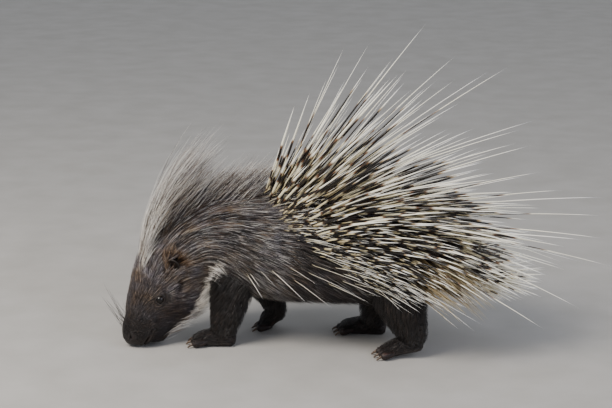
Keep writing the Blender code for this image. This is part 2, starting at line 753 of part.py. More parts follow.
def outside(point, node):
    """Whether a point lies more than a little outside the trunk's nearest section."""
    if point.x < -0.25 or node == "tail":
        return True
    place = place_of(point.x)
    centre, _, left, up, here = section_at(TRUNK, place)
    away = point - centre
    depth = here[7]
    tall = (here[5] if away.dot(up) > 0 else here[6]) + depth
    return (away.dot(left) / (here[4] + depth)) ** 2 + (away.dot(up) / tall) ** 2 > 1.03


def node_at(place):
    """The trunk's node at a place."""
    if place < TAIL_CUT:
        return "tail"
    if place < NECK_CUT:
        return "torso"
    return "neck" if place < HEAD_CUT else "head"


def lay_quills(clearance, kept, rng):
    """The quills of back, flanks, rump and tail."""
    for x, angle, rise, length in LONG_QUILLS:
        points = quill_points(x, angle, rise, length, LONG_DROOP, 4)
        laid_quill(clearance, node_at(place_of(x)), points, LONG_RADIUS, kept)
    for x, angle, rise, length in GUARD_QUILLS:
        for side in (1, -1):
            points = quill_points(x, side * angle, rise, length, GUARD_DROOP, 2)
            laid_quill(clearance, "torso", points, GUARD_RADIUS, kept)
    for x, count, spread, length in TAIL_QUILLS:
        for k in range(count):
            angle = 360.0 * (k + 0.5) / count
            around = math.radians(angle)
            root = surface_at(TRUNK, place_of(x), around)
            tilt = math.radians(spread * rng.uniform(0.8, 1.2))
            out = Vector((0.0, -math.sin(around), math.cos(around)))
            aim = Vector((math.cos(tilt), 0.0, -TAIL_SAG)) + out * math.sin(tilt)
            aim.normalize()
            inner = root - out * 0.004 - aim * 0.006
            points = [inner, root + aim * 0.5 * length, root + aim * length]
            laid_quill(clearance, "tail", points, TAIL_QUILL_RADIUS, kept)
    x = QUILL_EDGE[0][1]
    while x < QUILL_LAST:
        here = row_at(TRUNK, place_of(x))
        ring = here[4] + here[7]
        count = int(math.radians(QUILL_LOWEST) * ring / QUILL_SPACING)
        for k in range(-count, count + 1):
            for _ in range(TRIES + 1):
                angle = (k + rng.uniform(-0.3, 0.3)) * QUILL_LOWEST / max(count, 1)
                at = x + rng.uniform(-0.3, 0.3) * QUILL_ROW
                if at < between(QUILL_EDGE, abs(angle))[0]:
                    continue
                rise, length = quill_aim(at, angle)
                edge = min((at - between(QUILL_EDGE, abs(angle))[0]) / 0.05, 1.0)
                length *= rng.uniform(0.6, 1.0) * (0.75 + 0.25 * edge)
                rise += rng.uniform(-6, 6)
                points = quill_points(at, angle, rise, length, rng.uniform(*QUILL_DROOP), 2)
                radius = QUILL_RADIUS * rng.uniform(0.85, 1.1)
                if laid_quill(clearance, node_at(place_of(at)), points, radius, kept):
                    break
        x += QUILL_ROW


def lay_feelers(clearance, kept):
    """The long feelers of the muzzle, which sweep forwards, up and out in light curves."""
    head_turn = section_at(TRUNK, MOUTH_PLACE)[4][3]
    for place, angle, rise, turn, length in FEELERS:
        for side in (1, -1):
            around = side * math.radians(angle)
            root = surface_at(TRUNK, place, around)
            heading, lift = math.radians(head_turn + side * turn), math.radians(rise)
            aim = -Vector((math.cos(heading), math.sin(heading), 0.0)) * math.cos(lift) + UP * math.sin(lift)
            points = [root - normal_at(TRUNK, place, around) * ROOT_DEPTH]
            for share in (0.4, 0.75, 1.0):
                points.append(root + aim * length * share + UP * FEELER_CURL * length * share**2)
            sizes = [FEELER_RADIUS] * 3
            balls = balls_along(points, sizes, ACROSS, False)
            if clearance.free("head", "quill", [near for near in balls if outside(near[0], "head")]):
                clearance.add("head", "quill", balls)
                kept.setdefault("head", []).append(("quill", points, sizes, sizes, ACROSS))


def laid_lock(clearance, node, points, wide, thick, across, kept):
    """Adds a lock to a node's pieces if it stays clear of the other nodes."""
    balls = balls_along(points, wide, across, True)
    if not clearance.free(node, "lock", balls):
        return False
    clearance.add(node, "lock", balls)
    kept.setdefault(node, []).append(("lock", points, wide, thick, across))
    return True


def lay_crest(clearance, kept, rng):
    """The crest from the crown to between the shoulders, its bristles rising and then leaning back."""
    place = CREST_LIE[-1][0]
    row = 0
    while place > CREST_LIE[0][0]:
        for angle in CREST_ANGLES:
            for _ in range(TRIES):
                around = math.radians(angle + (row % 2) * 6 + rng.uniform(-3, 3))
                at = place + rng.uniform(-0.08, 0.08)
                start, end, length = between(CREST_LIE, at)
                length *= rng.uniform(0.82, 1.0) * (1.0 - 0.25 * (angle / 34) ** 2)
                root = surface_at(TRUNK, at, around)
                fan = -ACROSS * math.sin(around) * CREST_FAN
                points = [root - normal_at(TRUNK, at, around) * ROOT_DEPTH, root]
                for k in range(CREST_SEGMENTS):
                    rise = math.radians(start + (end - start) * (k + 0.5) / CREST_SEGMENTS)
                    step = (Vector((math.cos(rise), 0, math.sin(rise))) + fan).normalized()
                    points.append(points[-1] + step * length / CREST_SEGMENTS)
                wide = [CREST_HALF_WIDTH * share for share in (0.8, 1.0, 0.9, 0.6)]
                thick = [CREST_HALF_THICKNESS * share for share in (1.2, 1.0, 0.8, 0.6)]
                if laid_lock(clearance, node_at(at), points, wide, thick, ACROSS, kept):
                    break
        place -= CREST_ROW
        row += 1


def coat_lie(x, angle):
    """How far the coat's lie turns down from straight back, in degrees, on the side of the body."""
    return 26.0 * math.sin(math.radians(min(abs(angle), 150.0))) - (10.0 if x < -0.15 else 0.0)


def rates_at(place, angle):
    """Metres on the trunk's surface for each station along it and for each radian round it."""
    step = 0.02
    along = surface_at(TRUNK, place + step, angle) - surface_at(TRUNK, place - step, angle)
    around = surface_at(TRUNK, place, angle + step) - surface_at(TRUNK, place, angle - step)
    return along.length / (2 * step), around.length / (2 * step)


def lock_over_skin(place, around, length, turn, lift, segments):
    """Points of a lock that leaves the skin and lies back along it."""
    points = [surface_at(TRUNK, place, around, -ROOT_DEPTH)]
    spot = (place, around)
    side = 1 if around > 0 else -1
    for k in range(segments + 1):
        share = k / segments
        points.append(surface_at(TRUNK, spot[0], spot[1], lift * (0.1 + 0.9 * share**0.7)))
        along, across = rates_at(*spot)
        step = length / segments
        spot = (
            spot[0] - math.cos(math.radians(turn)) * step / along,
            spot[1] + side * math.sin(math.radians(turn)) * step / across,
        )
    return points


def lay_coat(clearance, kept, rng):
    """The locks of neck, shoulders, flanks and belly, in rows from the neck to the haunches."""
    place, row = COAT_FIRST, 0
    while place > COAT_LAST:
        here = row_at(TRUNK, place)
        ring = (here[4] + here[5]) / 2 + here[7]
        count = int(math.pi * ring / COAT_SPACING)
        for k in range(count):
            for side in (1, -1):
                angle = 180.0 * (k + 0.5 + 0.25 * (row % 2)) / count
                at = place + rng.uniform(-0.06, 0.06)
                x = row_at(TRUNK, at)[0]
                edge = between(QUILL_EDGE, angle)[0]
                top = COAT_TOP if at > CREST_LIE[0][0] else 0
                if x > edge - 0.012 or angle < top or angle > COAT_BOTTOM:
                    continue
                for attempt in range(TRIES):
                    length = COAT_LENGTH * rng.uniform(0.8, 1.05) * (1.0 - 0.22 * attempt)
                    lift = COAT_LIFT * rng.uniform(0.8, 1.3)
                    turn = coat_lie(x, angle) + rng.uniform(-6, 6)
                    around = side * math.radians(angle)
                    points = lock_over_skin(at, around, length, turn, lift, COAT_SEGMENTS)
                    out = normal_at(TRUNK, at, around)
                    across = (points[2] - points[1]).cross(out).normalized()
                    wide = [COAT_HALF_WIDTH * share for share in (0.8, 1.0, 0.85)]
                    thick = [COAT_HALF_THICKNESS * share for share in (1.0, 1.0, 0.8)]
                    if laid_lock(clearance, node_at(at), points, wide, thick, across, kept):
                        break
        place -= COAT_ROW / rates_at(place, math.pi / 2)[0]
        row += 1


def grown_pieces(kept, name):
    """The closed pieces of a node's quills and locks."""
    pieces = []
    for kind, points, wide, thick, across in kept.get(name, []):
        sides = 3 if kind == "quill" else 4
        pieces.append(spike(name + "_" + kind, points, wide, thick, sides, across))
    return pieces


def build_trunk_node(name, finish):
    """A length of the trunk, ending just short of its neighbours."""
    first, last, rings = TRUNK_NODES[name]
    return new_object(name, trunk_part(first, last, 0.0, rings), finish)


def finished(node):
    """Moves a node into the part's frame and shades it."""
    node.data.transform(Matrix.Translation(-FLOOR_POINT))
    node.data.shade_smooth()
    node.data.set_sharp_from_angle(angle=math.radians(40))


def build_porcupine():
    """All nodes of the animal."""
    cleared_scene()
    rng = random.Random(SEED)
    fur = material("dark_fur", (0.032, 0.024, 0.020), 0.8)
    skin = material("foot_skin", (0.020, 0.014, 0.012), 0.6)
    eye = material("eye", (0.004, 0.003, 0.003), 0.08)
    quill = material("quill_coat", (0.48, 0.40, 0.26), 0.4)
    build_head(fur)
    build_trunk_node("neck", fur)
    build_trunk_node("torso", quill)
    build_trunk_node("tail", quill)
    for name in FEET:
        build_leg(name, skin)
    for label, side in (("left", 1), ("right", -1)):
        build_eye("eye_" + label, side, eye)
        build_ear("ear_" + label, side, fur)
    clearance = Clearance()
    nodes = list(bpy.data.objects)
    for node in nodes:
        clearance.add_body(node)
    kept = {}
    lay_quills(clearance, kept, rng)
    lay_crest(clearance, kept, rng)
    lay_coat(clearance, kept, rng)
    lay_feelers(clearance, kept)
    for name in kept:
        joined(bpy.data.objects[name], grown_pieces(kept, name))
    for node in nodes:
        finished(node)


build_porcupine()
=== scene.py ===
"""A crested porcupine in life size: skin, fur, crest, quills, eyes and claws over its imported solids."""

import math

import bmesh
import bpy
import numpy as np
from mathutils import Matrix, Vector, noise
from mathutils.kdtree import KDTree


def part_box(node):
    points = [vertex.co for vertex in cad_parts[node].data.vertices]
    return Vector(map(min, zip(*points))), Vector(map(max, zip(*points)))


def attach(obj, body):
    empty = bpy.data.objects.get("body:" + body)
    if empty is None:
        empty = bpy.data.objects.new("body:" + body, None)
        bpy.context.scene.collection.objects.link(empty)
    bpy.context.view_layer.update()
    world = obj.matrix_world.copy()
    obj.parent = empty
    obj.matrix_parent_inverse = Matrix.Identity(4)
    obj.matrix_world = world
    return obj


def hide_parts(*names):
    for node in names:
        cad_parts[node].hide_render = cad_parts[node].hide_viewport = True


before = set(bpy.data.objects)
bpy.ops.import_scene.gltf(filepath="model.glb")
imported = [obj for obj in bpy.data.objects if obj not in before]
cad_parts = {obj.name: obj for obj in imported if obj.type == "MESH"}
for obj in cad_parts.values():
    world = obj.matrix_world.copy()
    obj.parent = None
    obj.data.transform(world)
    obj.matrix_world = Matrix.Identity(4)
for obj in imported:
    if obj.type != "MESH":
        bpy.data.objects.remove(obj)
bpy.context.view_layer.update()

# Camera
# The animal is seen from its left side, from a little in front and from a person's height some metres away.
CAMERA_AZIMUTH, CAMERA_ELEVATION = math.radians(10), math.radians(14)
CAMERA_TARGET = Vector((-0.1080, 0.0655, 0.2627))
CAMERA_DISTANCE = 3.6
PICTURE_WIDTH, SENSOR_WIDTH = 1.224, 36.0

right = Vector((math.cos(CAMERA_AZIMUTH), math.sin(CAMERA_AZIMUTH), 0.0))
back = Vector((
    math.sin(CAMERA_AZIMUTH) * math.cos(CAMERA_ELEVATION),
    -math.cos(CAMERA_AZIMUTH) * math.cos(CAMERA_ELEVATION),
    math.sin(CAMERA_ELEVATION),
))
camera_data = bpy.data.cameras.new("camera")
camera_data.sensor_width = SENSOR_WIDTH
camera_data.lens = SENSOR_WIDTH * CAMERA_DISTANCE / PICTURE_WIDTH
camera = bpy.data.objects.new("camera", camera_data)
bpy.context.scene.collection.objects.link(camera)
camera.matrix_world = Matrix.Translation(CAMERA_TARGET + back * CAMERA_DISTANCE) @ Matrix(
    (right, back.cross(right), back)
).transposed().to_4x4()
bpy.context.scene.camera = camera


# Skin
# Under the coat lies one hide, drawn over trunk, head, ears and legs without a seam. It is dark, thin and
# creased, and bare only on nose, lips, lids, soles and toes. It is shaped through stations along each body.
# The frame's zero lies this far along the x of the tables.
FRAME_X = 0.1025
SEED = 7
DEGREE = math.radians(1)
UP = Vector((0, 0, 1))
# Where the head begins and where the fore feet end, along x.
HEAD_END, NOSE_HAIR_END = -0.230 - FRAME_X, -0.200 - FRAME_X

# The trunk from the tail's tip to the nose, one row for each station: centre x, y, z, turn of the section to
# the left in degrees, half width, height above the centre, depth below it, and the depth of the coat's dense
# core over the skin.
TRUNK = (
    (0.400, 0.000, 0.148, 0, 0.010, 0.008, 0.008, 0.003),
    (0.345, 0.000, 0.158, 0, 0.024, 0.020, 0.018, 0.005),
    (0.295, 0.000, 0.170, 0, 0.042, 0.038, 0.034, 0.007),
    (0.245, 0.000, 0.182, 0, 0.080, 0.070, 0.062, 0.008),
    (0.185, 0.000, 0.190, 0, 0.104, 0.090, 0.084, 0.009),
    (0.115, 0.000, 0.194, 0, 0.112, 0.096, 0.090, 0.010),
    (0.040, 0.000, 0.196, 0, 0.114, 0.097, 0.092, 0.012),
    (-0.035, 0.000, 0.199, 0, 0.108, 0.094, 0.090, 0.014),
    (-0.105, 0.000, 0.206, 0, 0.092, 0.086, 0.086, 0.014),
    (-0.160, -0.005, 0.207, 3, 0.076, 0.078, 0.080, 0.012),
    (-0.205, -0.013, 0.191, 6, 0.066, 0.074, 0.072, 0.010),
    (-0.240, -0.024, 0.160, 10, 0.060, 0.074, 0.071, 0.007),
    (-0.261, -0.040, 0.122, 15, 0.055, 0.073, 0.073, 0.005),
    (-0.275, -0.054, 0.095, 18, 0.050, 0.066, 0.068, 0.004),
    (-0.288, -0.068, 0.070, 20, 0.042, 0.056, 0.058, 0.003),
    (-0.300, -0.079, 0.043, 20, 0.036, 0.045, 0.047, 0.002),
    (-0.308, -0.087, 0.027, 20, 0.033, 0.040, 0.043, 0.001),
    (-0.312, -0.091, 0.014, 20, 0.028, 0.033, 0.032, 0.001),
    (-0.312, -0.092, 0.005, 20, 0.018, 0.022, 0.020, 0.001),
)
# The legs in the same way, from inside the trunk down to the heel; y is the distance from the middle.
FORELEG_LEFT = (
    (-0.116, 0.046, 0.185, 0, 0.036, 0.046, 0.046, 0.006),
    (-0.126, 0.054, 0.135, 0, 0.034, 0.042, 0.040, 0.006),
    (-0.136, 0.058, 0.092, 0, 0.028, 0.034, 0.034, 0.005),
    (-0.143, 0.058, 0.058, 0, 0.024, 0.028, 0.029, 0.004),
    (-0.148, 0.058, 0.032, 0, 0.021, 0.024, 0.024, 0.003),
    (-0.150, 0.058, 0.016, 0, 0.020, 0.022, 0.021, 0.002),
    (-0.150, 0.058, 0.008, 0, 0.015, 0.016, 0.015, 0.001),
)
FORELEG_RIGHT = (
    (-0.112, 0.046, 0.185, 0, 0.036, 0.046, 0.046, 0.006),
    (-0.104, 0.054, 0.135, 0, 0.034, 0.040, 0.040, 0.006),
    (-0.090, 0.058, 0.098, 0, 0.028, 0.032, 0.032, 0.005),
    (-0.074, 0.058, 0.068, 0, 0.022, 0.024, 0.025, 0.004),
    (-0.066, 0.058, 0.044, 0, 0.019, 0.020, 0.020, 0.003),
    (-0.068, 0.058, 0.030, 0, 0.018, 0.018, 0.018, 0.002),
    (-0.070, 0.058, 0.022, 0, 0.013, 0.013, 0.013, 0.001),
)
HINDLEG_LEFT = (
    (0.184, 0.058, 0.195, 0, 0.042, 0.062, 0.056, 0.006),
    (0.197, 0.070, 0.145, 0, 0.042, 0.054, 0.050, 0.006),
    (0.209, 0.071, 0.103, 0, 0.035, 0.045, 0.043, 0.005),
    (0.221, 0.068, 0.067, 0, 0.027, 0.034, 0.033, 0.004),
    (0.229, 0.066, 0.044, 0, 0.023, 0.027, 0.026, 0.003),
    (0.230, 0.066, 0.030, 0, 0.021, 0.024, 0.021, 0.002),
    (0.230, 0.066, 0.022, 0, 0.016, 0.017, 0.015, 0.001),
)
HINDLEG_RIGHT = (
    (0.176, 0.058, 0.195, 0, 0.042, 0.060, 0.056, 0.006),
    (0.162, 0.070, 0.145, 0, 0.042, 0.052, 0.050, 0.006),
    (0.148, 0.071, 0.103, 0, 0.034, 0.042, 0.042, 0.005),
    (0.138, 0.068, 0.067, 0, 0.026, 0.031, 0.032, 0.004),
    (0.133, 0.066, 0.038, 0, 0.022, 0.025, 0.025, 0.003),
    (0.131, 0.066, 0.019, 0, 0.021, 0.023, 0.020, 0.002),
    (0.131, 0.066, 0.009, 0, 0.016, 0.017, 0.014, 0.001),
)
# Each foot: the leg above it, its side, the sole's heel and ball (x, y), the heel's lift and the toes.
FEET = {
    "front_left": (FORELEG_LEFT, -1, (-0.133, -0.058), (-0.199, -0.062), 0.000, 4),
    "front_right": (FORELEG_RIGHT, 1, (-0.064, 0.058), (-0.091, 0.059), 0.022, 4),
    "hind_left": (HINDLEG_LEFT, -1, (0.240, -0.066), (0.174, -0.070), 0.016, 5),
    "hind_right": (HINDLEG_RIGHT, 1, (0.149, 0.066), (0.074, 0.068), 0.000, 5),
}
# The sole from heel to ball: fraction of the way, height of its middle, half width, above, below.
SOLE = (
    (-0.12, 0.011, 0.009, 0.007, 0.009),
    (0.00, 0.012, 0.018, 0.014, 0.014),
    (0.45, 0.012, 0.021, 0.019, 0.014),
    (0.90, 0.010, 0.024, 0.014, 0.012),
    (1.12, 0.008, 0.020, 0.007, 0.009),
)
BALL_SHARE = 0.9
TOE_RADIUS, TOE_LENGTH, TOE_SPREAD = 0.0080, 0.020, math.radians(12)
# The toes stand side by side on an arc; the outer ones are shorter and further back.
TOE_PITCH, TOE_BACK, TOE_ARC, TOE_SHORTER = 2.1, 0.004, 0.003, 0.12
# Rings of a toe from its root to its tip: share of the length, height, share of the radius.
TOE_RINGS = (
    (-0.90, 0.0112, 0.35),
    (-0.20, 0.0098, 0.80),
    (0.30, 0.0088, 0.92),
    (0.66, 0.0084, 1.00),
    (0.92, 0.0074, 0.82),
    (1.06, 0.0064, 0.35),
)
KNUCKLE_SHARE, KNUCKLE_HEIGHT, KNUCKLE_RADII = 0.62, 0.0104, (0.0070, 0.0064, 0.0058)
# Places on the trunk, in stations from the tail's tip, with angles from the middle of the back.
EYE_PLACE, EYE_ANGLE = 13.5, math.radians(82)
EAR_PLACE, EAR_ANGLE = 11.4, math.radians(79)
NOSTRIL_PLACE, NOSTRIL_ANGLE = 16.9, math.radians(52)
MOUTH_PLACE, MOUTH_DROP, MOUTH_AHEAD, MOUTH_BACK = 16.0, 0.010, 0.010, -0.026
# The ear's radii, its rise over the skin, its lean forwards, the depth of its cup and its rolled rim.
EAR_RADII, EAR_LIFT, EAR_STAND, EAR_LEAN = (0.0165, 0.0125, 0.0055), 0.006, 0.004, 0.75
EAR_CUP, EAR_RIM_RADII, EAR_RIM, EAR_RIM_RINGS = 0.0028, (0.0158, 0.0118), 0.0017, 29
SKIN_VOXEL, SKIN_FACES = 0.0014, 92000
FLOOR_CLEAR = 0.0002


def shifted(rows, side=None):
    """A table of stations in this frame; a leg's distances from the middle get their side."""
    table = np.array(rows, float)
    table[:, 0] -= FRAME_X
    if side:
        table[:, 1] *= side
    return table


def stations(table, place):
    """Values of a table of stations at many places, on smooth curves through its rows."""
    last = len(table) - 1
    place = np.clip(np.asarray(place, float), 0.0, last - 1e-6)
    first = place.astype(int)
    t = (place - first)[..., None]
    p, q, r, w = (table[np.clip(first + k, 0, last)] for k in (-1, 0, 1, 2))
    return 0.5 * (2 * q + (r - p) * t + (2 * p - 5 * q + 4 * r - w) * t**2 + (3 * q - p - 3 * r + w) * t**3)


def unit(vectors):
    """The vectors at length one."""
    return vectors / np.maximum(np.linalg.norm(vectors, axis=-1, keepdims=True), 1e-12)


def sections(table, place):
    """Forward, left and up axes at many places, and their values."""
    here = stations(table, place)
    forward = unit(stations(table, place + 0.02)[..., :3] - stations(table, place - 0.02)[..., :3])
    turn = np.radians(here[..., 3])
    left = np.stack((np.sin(turn), -np.cos(turn), np.zeros_like(turn)), -1)
    left = unit(left - forward * np.sum(left * forward, -1, keepdims=True))
    return forward, left, np.cross(forward, left), here


def on_body(table, place, angle, lift=0.0):
    """Points of the skin at places along a body and angles round it, raised by lift."""
    place, angle = np.asarray(place, float), np.asarray(angle, float)
    _, left, up, here = sections(table, place)
    wide = here[..., 4] + lift
    tall = np.where(np.cos(angle) > 0, here[..., 5], here[..., 6]) + lift
    return here[..., :3] + left * (np.sin(angle) * wide)[..., None] + up * (np.cos(angle) * tall)[..., None]


def outward(table, place, angle):
    """Outward directions of the skin."""
    along = on_body(table, place + 0.05, angle) - on_body(table, place - 0.05, angle)
    around = on_body(table, place, angle + 0.05) - on_body(table, place, angle - 0.05)
    return unit(np.cross(along, around))


def surface_axes(place, angle):
    """On the head: along it towards the nose, across it and outwards."""
    out = Vector(outward(trunk, place, angle))
    along = Vector(sections(trunk, np.float64(place))[0])
    along = (along - out * along.dot(out)).normalized()
    return along, out.cross(along), out


def lofted(bm, table, per_station, sides):
    """A closed tube through rings at evenly spaced places of a table."""
    count = int((len(table) - 1) * per_station) + 1
    loops = []
    for place in np.linspace(0.0, len(table) - 1, count):
        ring = bmesh.ops.create_circle(bm, segments=sides, radius=1.0)["verts"]
        angles = 2 * math.pi * np.arange(sides) / sides
        for vert, point in zip(ring, on_body(table, np.full(sides, place), angles)):
            vert.co = point
        loops.append({edge for vert in ring for edge in vert.link_edges})
    for one, other in zip(loops, loops[1:]):
        bmesh.ops.bridge_loops(bm, edges=list(one | other))
    for loop in (loops[0], loops[-1]):
        bmesh.ops.holes_fill(bm, edges=list(loop), sides=0)


def tube(bm, points, radii, sides):
    """A closed round tube through points, one ring at each."""
    loops = []
    for k, point in enumerate(points):
        along = points[min(k + 1, len(points) - 1)] - points[max(k - 1, 0)]
        place = Matrix.Translation(point) @ along.to_track_quat("Z", "Y").to_matrix().to_4x4()
        ring = bmesh.ops.create_circle(bm, segments=sides, radius=radii[k], matrix=place)["verts"]
        loops.append({edge for vert in ring for edge in vert.link_edges})
    for one, other in zip(loops, loops[1:]):
        bmesh.ops.bridge_loops(bm, edges=list(one | other))
    for loop in (loops[0], loops[-1]):
        bmesh.ops.holes_fill(bm, edges=list(loop), sides=0)


def sole_table(heel, ball, lift):
    """The stations of a foot from heel to ball."""
    heel, ball = np.array((*heel, 0.0)), np.array((*ball, 0.0))
    ahead = unit(ball - heel)
    turn = math.degrees(math.atan2(-ahead[1], -ahead[0]))
    rows = []
    for share, height, wide, above, below in SOLE:
        point = heel + (ball - heel) * share
        raised = lift * max(0.0, BALL_SHARE - share)
        rows.append((point[0], point[1], height + raised, turn, wide, above, below, 0.002))
    return shifted(rows)


def toe_lines(heel, ball, toes):
    """For each toe: its root, its direction and its length."""
    heel = Vector((heel[0] - FRAME_X, heel[1], 0.0))
    ball = Vector((ball[0] - FRAME_X, ball[1], 0.0))
    ahead = (ball - heel).normalized()
    across = Vector((ahead.y, -ahead.x, 0.0))
    for k in range(toes):
        offset = k - (toes - 1) / 2
        aim = Matrix.Rotation(-offset * TOE_SPREAD, 3, "Z") @ ahead
        aside = across * offset * TOE_PITCH * TOE_RADIUS * 4 / toes
        root = ball + aside - ahead * (TOE_BACK + TOE_ARC * abs(offset))
        yield root, aim, TOE_LENGTH * (1.0 - TOE_SHORTER * abs(offset))


def ellipsoid(bm, centre, radii, axes, sides=24, rings=16):
    """A rounded body with its radii along the axes."""
    turn = Matrix(axes).transposed().to_4x4()
    shape = Matrix.Translation(centre) @ turn @ Matrix.Diagonal((*radii, 1.0))
    bmesh.ops.create_uvsphere(bm, u_segments=sides, v_segments=rings, radius=1.0, matrix=shape)


def new_piece(name, bm=None, mesh=None):
    """A mesh object at the origin."""
    if bm:
        mesh = bpy.data.meshes.new(name)
        bm.to_mesh(mesh)
        bm.free()
    piece = bpy.data.objects.new(name, mesh)
    bpy.context.scene.collection.objects.link(piece)
    return piece


def applied(piece):
    """A piece's mesh with its modifiers taken into it."""
    graph = bpy.context.evaluated_depsgraph_get()
    mesh = bpy.data.meshes.new_from_object(piece.evaluated_get(graph))
    piece.modifiers.clear()
    piece.data = mesh
    mesh.name = piece.name


trunk = shifted(TRUNK)
bodies = {"trunk": trunk}
for name, (rows, side, *_) in FEET.items():
    bodies["leg/" + name] = shifted(rows, side)
for name, (_, _, heel, ball, lift, _) in FEET.items():
    bodies["sole/" + name] = sole_table(heel, ball, lift)

bm = bmesh.new()
lofted(bm, trunk, 4, 64)
for name, (_, _, heel, ball, _, toes) in FEET.items():
    lofted(bm, bodies["leg/" + name], 5, 36)
    lofted(bm, bodies["sole/" + name], 5, 28)
    for root, aim, length in toe_lines(heel, ball, toes):
        line = [root + aim * length * share + UP * height for share, height, _ in TOE_RINGS]
        tube(bm, line, [TOE_RADIUS * share for _, _, share in TOE_RINGS], 14)
        # Each toe swells over its middle joint.
        knuckle = root + aim * length * KNUCKLE_SHARE + UP * KNUCKLE_HEIGHT
        ellipsoid(bm, knuckle, KNUCKLE_RADII, (aim, aim.cross(UP), UP), 12, 8)
for side in (1, -1):
    # Each ear is a small round cup with a soft rolled rim, that opens forwards and outwards.
    along, across, out = surface_axes(EAR_PLACE, side * EAR_ANGLE)
    tall = (out - along * EAR_LEAN).normalized()
    wide = across * side
    thin = tall.cross(wide)
    if thin.dot(along) < 0:
        thin = -thin
    centre = Vector(on_body(trunk, EAR_PLACE, side * EAR_ANGLE, EAR_LIFT)) + tall * EAR_STAND
    ear = bmesh.new()
    ellipsoid(ear, centre, EAR_RADII, (tall, wide, thin), 32, 20)
    for vert in ear.verts:
        # The front of the ellipsoid sinks into a bowl.
        away = vert.co - centre
        front = away.dot(thin)
        if front > 0:
            rim = min(math.hypot(away.dot(tall) / EAR_RADII[0], away.dot(wide) / EAR_RADII[1]), 1.0)
            vert.co -= thin * (front + EAR_CUP * (1.0 - rim**3))
    mesh = bpy.data.meshes.new("ear")
    ear.to_mesh(mesh)
    ear.free()
    bm.from_mesh(mesh)
    turns = [2 * math.pi * k / (EAR_RIM_RINGS - 1) for k in range(EAR_RIM_RINGS)]
    tall, wide = tall * EAR_RIM_RADII[0], wide * EAR_RIM_RADII[1]
    rim = [centre + tall * math.cos(turn) + wide * math.sin(turn) for turn in turns]
    tube(bm, rim, [EAR_RIM] * EAR_RIM_RINGS, 10)
bmesh.ops.recalc_face_normals(bm, faces=bm.faces)
skin = new_piece("skin", bm)
remesh = skin.modifiers.new("one hide", "REMESH")
remesh.mode = "VOXEL"
remesh.voxel_size = SKIN_VOXEL
smooth = skin.modifiers.new("soften", "SMOOTH")
smooth.iterations = 6
smooth.factor = 0.5
applied(skin)


def vertices_of(mesh):
    """The vertices as an array."""
    points = np.empty(len(mesh.vertices) * 3)
    mesh.vertices.foreach_get("co", points)
    return points.reshape(-1, 3)


def normals_of(mesh):
    """The vertex normals as an array."""
    normals = np.empty(len(mesh.vertices) * 3)
    mesh.vertices.foreach_get("normal", normals)
    return normals.reshape(-1, 3)


def bell(distance, width):
    """One at no distance, falling smoothly to nothing."""
    return np.exp(-((distance / width) ** 2))


def within(depth):
    """One close to the surface point a feature is set at, falling smoothly to nothing below and above it."""
    return np.clip(1.6 - np.abs(depth) / 0.012, 0.0, 1.0)


def around_feature(place, angle, lift=0.0):
    """Distances of the skin's points from a feature, along and across the head, and how close they are."""
    along, across, out = (np.array(axis) for axis in surface_axes(place, angle))
    away = points - on_body(trunk, place, angle, lift)
    return away @ along, away @ across, within(away @ out)


# Folds as height, distance and width: round the eye in radii of the opening, at the mouth in metres.
EYE_OPENING, SOCKET_EDGE, SOCKET_DEPTH, BROW_WIDTH = (0.0100, 0.0078), 0.96, 0.0066, 0.022
LID_FOLDS = ((0.0022, 1.02, 0.20), (-0.0014, 1.42, 0.14), (0.0008, 1.72, 0.15))
EYE_CORNER = (0.0010, 0.0125, 0.0035)
NOSTRIL_SLIT, NOSTRIL_DEPTH, NOSTRIL_BOW = (0.0062, 0.0022), 0.0062, 60.0
NOSTRIL_RIM, NOSTRIL_SWELL = (0.0100, 0.0065), 0.0024
LIP_FOLDS = ((0.0018, 0.0034, 0.0026), (0.0016, -0.0036, 0.0030), (-0.0056, 0.0, 0.0016))
CLEFT_DEPTH, CLEFT_WIDTH = 0.0020, 0.0014
WRINKLE_HEIGHT, WRINKLE_PITCH, WRINKLE_REACH = 0.00022, 0.0042, 0.030

points = vertices_of(skin.data)
normals = normals_of(skin.data)
raised = np.zeros(len(points))
for side in (1, -1):
    # Brow and cheek swell round the eye. The lids stand round the eyeball, with a crease outside each.
    skin_lift = stations(trunk, EYE_PLACE)[7]
    a, b, near = around_feature(EYE_PLACE, side * EYE_ANGLE, skin_lift)
    ring = np.hypot(a / EYE_OPENING[0], b / EYE_OPENING[1])
    raised += near * skin_lift * bell(np.hypot(a, b), BROW_WIDTH)
    for height, distance, width in LID_FOLDS:
        raised += near * height * bell(ring - distance, width)
    raised -= near * EYE_CORNER[0] * bell(np.hypot(a - EYE_CORNER[1], b), EYE_CORNER[2])
    raised -= near * SOCKET_DEPTH * np.sqrt(np.clip(SOCKET_EDGE - ring, 0.0, 1.0))
    # A nostril is a curved slit with a soft rim.
    a, b, near = around_feature(NOSTRIL_PLACE, side * NOSTRIL_ANGLE)
    bow = b + NOSTRIL_BOW * a * a
    slit = np.hypot(a / NOSTRIL_SLIT[0], bow / NOSTRIL_SLIT[1])
    raised += near * NOSTRIL_SWELL * bell(np.hypot(a / NOSTRIL_RIM[0], b / NOSTRIL_RIM[1]), 1.0)
    raised -= near * NOSTRIL_DEPTH * bell(slit, 0.85)
# The lips stand out above and below the line of the mouth, and the upper one is cleft below the nostrils.
mouth_forward, mouth_left, mouth_up, here = sections(trunk, np.float64(MOUTH_PLACE))
mouth_middle = here[:3] - mouth_up * MOUTH_DROP + mouth_forward * MOUTH_AHEAD
away = points - mouth_middle
level, ahead = away @ mouth_up, away @ mouth_forward
muzzle = (ahead > MOUTH_BACK) & (np.abs(level) < 0.03)
for height, distance, width in LIP_FOLDS:
    raised += muzzle * height * bell(level - distance, width)
cleft = muzzle & (ahead > 0.0) & (level > 0.0)
raised -= cleft * CLEFT_DEPTH * bell(away @ mouth_left, CLEFT_WIDTH)
